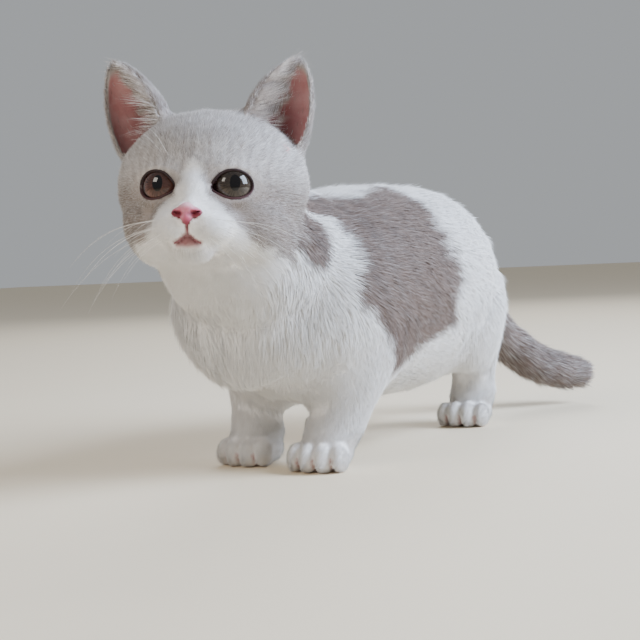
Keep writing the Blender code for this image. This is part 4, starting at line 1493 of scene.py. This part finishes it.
def mesh_of(name, verts, shape, count):
    """A mesh of this many tufts of one shape, from their corner points in order."""
    lengths = np.array([len(face) for face in shape.faces])
    corners = (shape.corners[None] + (np.arange(count) * shape.count)[:, None]).ravel()
    starts = (np.cumsum(lengths) - lengths)[None] + (np.arange(count) * len(shape.corners))[:, None]
    mesh = bpy.data.meshes.new(name)
    mesh.vertices.add(len(verts))
    mesh.vertices.foreach_set("co", verts.astype(np.float32).ravel())
    mesh.loops.add(len(corners))
    mesh.loops.foreach_set("vertex_index", corners.astype(np.int32))
    mesh.polygons.add(starts.size)
    mesh.polygons.foreach_set("loop_start", starts.astype(np.int32).ravel())
    mesh.update(calc_edges=True)
    mesh.validate()
    return mesh


def grow(hide, body, head):
    """Sets how long, wide, raised and dense the tufts are at each vertex of the skin."""
    low = (hide.kinds >= LEG) * step(26, 8, body[:, 2])
    for what in ("length", "width", "lift", "density"):
        values = hide.blended(what) * (1 - low) + getattr(GROWTHS["forepaw"], what) * low
        setattr(hide, what, hide.smoothed(values, 30))
    on_head, on_paw = hide.kinds == HEAD, hide.kinds == PAW
    lids, nose, mouth = lid_share(head), nose_share(head), mouth_distance(head)
    cleft = toe_cleft(body) * on_paw
    to_tip = np.linalg.norm(body - np.array(TAIL_LINE[-1]), axis=1)
    breast = step(26, -4, body[:, 1]) * step(0.4, -0.1, hide.normals[:, 2]) * step(20, 40, body[:, 2])
    hide.lift += 8 * hide.hollow
    # shorter in hollows, at the tail's end and round the eyes, nose, mouth and toes
    hide.length *= 1 - 0.5 * hide.hollow
    hide.length *= 1 - 0.55 * (step(14, 4, to_tip) * (hide.kinds == TAIL))
    hide.length *= 1 + 0.08 * breast * ~on_head
    hide.length *= 0.5 + 0.5 * step(1.1, 2.0, lids)
    hide.length *= 0.6 + 0.4 * step(1.0, 2.5, nose)
    hide.length *= 0.4 + 0.6 * step(0.8, 4.0, mouth)
    hide.length *= 1 - 0.4 * step(0.1, 0.6, cleft)
    # none where the skin is bare, few between the toes and under the paws
    hide.density *= np.where(hide.kinds == EAR, 1 - 0.97 * step(0.2, 0.6, hide.bare), 1)
    hide.density *= step(1.06, 1.14, lids) * step(0.90, 1.02, nose)
    hide.density *= step(1.0, 1.8, mouth) * (1 - step(0.2, 0.5, hide.bare) * on_head)
    hide.density *= np.where(on_paw & (hide.normals[:, 2] < -0.85), 0.15, 1)
    hide.density *= 1 - 0.9 * step(0.4, 0.95, cleft) * step(9, 4, body[:, 2])


class KITTEN_OT_coat(bpy.types.Operator):
    """The coat, in pieces by region"""

    bl_idname = "kitten.coat"
    bl_label = "Coat"

    def execute(self, context):
        hide = HIDES["skin"]
        body = body_points(hide.points)
        head = head_points(body)
        grow(hide, body, head)
        for seed, (name, mask, bent) in enumerate(coat_regions(hide, body, head)):
            tufts(hide, mask, name, BENT if bent else STRAIGHT, 100 + seed)
        return {"FINISHED"}


def ear_axes(name):
    """An ear's base and tip, with the ways up, outward and behind, in the head's millimetres."""
    base, tip, back = (Vector(v) for v in EARS[name])
    axis = (tip - base).normalized()
    side = axis.cross(back).normalized()
    behind = side.cross(axis).normalized()
    outward = side if (side.x > 0) == (name == "ear_left") else -side
    return base, tip, axis, outward, behind


def cup_point(ear, share, across, deep):
    """A point in an ear's cup: at a share of its length, so many half widths across and half depths deep."""
    base, tip, _, outward, behind = ear
    taper = ear_taper(share)
    middle = base + (tip - base) * share
    return middle + outward * (across * EAR_HALF_WIDTH * taper) + behind * (deep * EAR_HALF_DEPTH * taper)


def long_ear_hair(ear, rng):
    """Points and root radius, in metres, of a hair that sweeps outward from the cup's inner half."""
    _, _, axis, outward, behind = ear
    share = rng.uniform(0.03, 0.88)
    angle = math.radians(ear_spread(share) - rng.uniform(0, 1) ** 1.3 * 78)
    start = cup_point(ear, share, -0.96 * math.sin(angle), 0.9 * math.cos(angle) - CUP_SHIFT)
    length = (12.0 - 6.5 * share) * rng.uniform(0.25, 1.15) * (1 + 0.35 * math.sin(share * 23))
    rise = min(1.0, 0.15 + 1.7 * share) * rng.uniform(0.5, 1.3)
    way = outward * rng.uniform(0.3, 0.8) + axis * rise - behind * rng.uniform(0.0, 0.35)
    way.normalize()
    bow = outward * rng.uniform(0.5, 2.0)
    points = []
    for i in range(5):
        u = i / 4
        points.append(from_head(start + way * length * u + bow * u * u - behind * 1.2 * u * (1 - u)))
    return points, rng.uniform(0.045, 0.085) * MM


def edge_ear_hair(ear, edge, rng):
    """Points and root radius, in metres, of a short hair on the cup's edge, outer 1 or inner -1."""
    _, _, axis, outward, behind = ear
    share = rng.uniform(0.0, 0.96)
    angle = math.radians(ear_spread(share) - rng.uniform(-3, 7))
    across = edge * math.sin(angle) * rng.uniform(0.94, 1.03)
    start = cup_point(ear, share, across, math.cos(angle) - CUP_SHIFT)
    way = outward * edge * rng.uniform(-0.7, 0.5) + axis * 0.8 - behind * rng.uniform(0.1, 0.8)
    way.normalize()
    length = rng.uniform(0.7, 1.8)
    points = [from_head(start + way * length * u) for u in (0, 0.5, 1)]
    return points, rng.uniform(0.045, 0.08) * MM


class KITTEN_OT_ear_hair(bpy.types.Operator):
    """Long white hairs that sweep out of the inner edge of each ear, with short ones round its rim"""

    bl_idname = "kitten.ear_hair"
    bl_label = "Ear hair"

    def execute(self, context):
        rng = np.random.default_rng(77)
        long_count, edge_count = ((950, 700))
        for name in EARS:
            ear = ear_axes(name)
            lines = [long_ear_hair(ear, rng) for _ in range(long_count)]
            lines += [edge_ear_hair(ear, 1 if k % 2 else -1, rng) for k in range(edge_count)]
            obj = tubes(name + "_hair", lines, 3)
            finish(obj, name + "_hair")
            down = hair_material("ear_down", 0.6, colours().ear_shade, colours().ear_hair)
            obj.data.materials.append(down)
        return {"FINISHED"}


LIGHTS = (  # name, place and size in metres, power in watts and colour
    ("window", (1.0, 0.32, 0.68), 0.8, 47.0, "D6E6FF"),
    ("front", (-0.30, -0.95, 0.75), 0.36, 4.6, "FFF4E8"),
    ("rim", (-0.5, 1.1, 0.9), 0.8, 9.0, "F2F7FF"),
)
LIT = Vector((0, -0.05, 0.08))  # what the lights are turned to


class KITTEN_OT_stage(bpy.types.Operator):
    """Plain pale floor, soft studio lights and the camera"""

    bl_idname = "kitten.stage"
    bl_label = "Stage"

    def execute(self, context):
        bpy.ops.mesh.primitive_plane_add(size=12.0, location=(0, 0, 0))
        floor = bpy.context.object
        floor.name = "floor"
        material, tree, shader = new_material("painted_floor", Roughness=0.65)
        mottle = noise(tree, own_place(tree), 30.0, 5.0)
        base = colours().floor
        darker = (*(part * 0.97 for part in base[:3]), 1.0)
        tree.links.new(mix(tree, mottle, darker, base), shader.inputs["Base Color"])
        floor.data.materials.append(material)
        world = bpy.data.worlds.new("studio")
        bpy.context.scene.world = world
        world.use_nodes = True
        background = world.node_tree.nodes["Background"]
        background.inputs["Color"].default_value = linear("E8ECF0")
        background.inputs["Strength"].default_value = 0.48
        for light in LIGHTS:
            soft_light(*light)
        camera(context)
        return {"FINISHED"}


def soft_light(name, place, size, power, code):
    bpy.ops.object.light_add(type="AREA", location=place)
    lamp = bpy.context.object
    lamp.name = name
    lamp.data.size = size
    lamp.data.energy = power
    lamp.data.color = linear(code)[:3]
    lamp.rotation_euler = (Vector(place) - LIT).to_track_quat("Z", "Y").to_euler()


CAMERA_PLACE = (279.4, -426.6, 82.0)  # body millimetres
CAMERA_HEADING = (-0.515, 0.857)
CAMERA_DOWN = math.radians(2.6)
CAMERA_ROLL = math.radians(2.7)
CAMERA_LENS = 73.1


def camera(context):
    """Sees the kitten from its left front at its own height, tilted a little."""
    ahead = Vector((*CAMERA_HEADING, 0)).normalized()
    right = Vector((ahead.y, -ahead.x, 0))
    look = ahead * math.cos(CAMERA_DOWN) - Vector((0, 0, math.sin(CAMERA_DOWN)))
    up = right.cross(look)
    image_right = right * math.cos(CAMERA_ROLL) - up * math.sin(CAMERA_ROLL)
    image_up = right * math.sin(CAMERA_ROLL) + up * math.cos(CAMERA_ROLL)
    turn = Matrix((image_right, image_up, -look)).transposed()
    bpy.ops.object.camera_add()
    eye = bpy.context.object
    eye.matrix_world = Matrix.Translation(from_body(CAMERA_PLACE)) @ turn.to_4x4()
    eye.data.lens = CAMERA_LENS
    eye.data.sensor_width = 36.0
    context.scene.camera = eye


class KITTEN_PT_panel(bpy.types.Panel):
    """Lists the kitten's pieces and settings"""

    bl_label = "Munchkin kitten"
    bl_idname = "KITTEN_PT_panel"
    bl_space_type = "VIEW_3D"
    bl_region_type = "UI"
    bl_category = "Kitten"

    def draw(self, context):
        for operator in OPERATORS:
            self.layout.operator(operator.bl_idname)
        for group in (context.scene.kitten_sizes, context.scene.kitten_colours):
            for key in group.__annotations__:
                self.layout.prop(group, key)


OPERATORS = (
    KITTEN_OT_stage,
    KITTEN_OT_skin,
    KITTEN_OT_eyes,
    KITTEN_OT_lids,
    KITTEN_OT_nose,
    KITTEN_OT_mouth,
    KITTEN_OT_pads,
    KITTEN_OT_whiskers,
    KITTEN_OT_ear_hair,
    KITTEN_OT_coat,
)
CLASSES = (KittenColours, KittenSizes, *OPERATORS, KITTEN_PT_panel)


def register():
    for cls in CLASSES:
        bpy.utils.register_class(cls)
    bpy.types.Scene.kitten_colours = bpy.props.PointerProperty(type=KittenColours)
    bpy.types.Scene.kitten_sizes = bpy.props.PointerProperty(type=KittenSizes)


def unregister():
    del bpy.types.Scene.kitten_sizes
    del bpy.types.Scene.kitten_colours
    for cls in reversed(CLASSES):
        bpy.utils.unregister_class(cls)


def main():
    register()
    bpy.ops.object.select_all(action="DESELECT")
    for operator in OPERATORS:
        area, action = operator.bl_idname.split(".")
        result = getattr(getattr(bpy.ops, area), action)()
        if result != {"FINISHED"}:
            raise RuntimeError(f"{operator.bl_label} didn't finish")


if __name__ == "__main__":
    main()
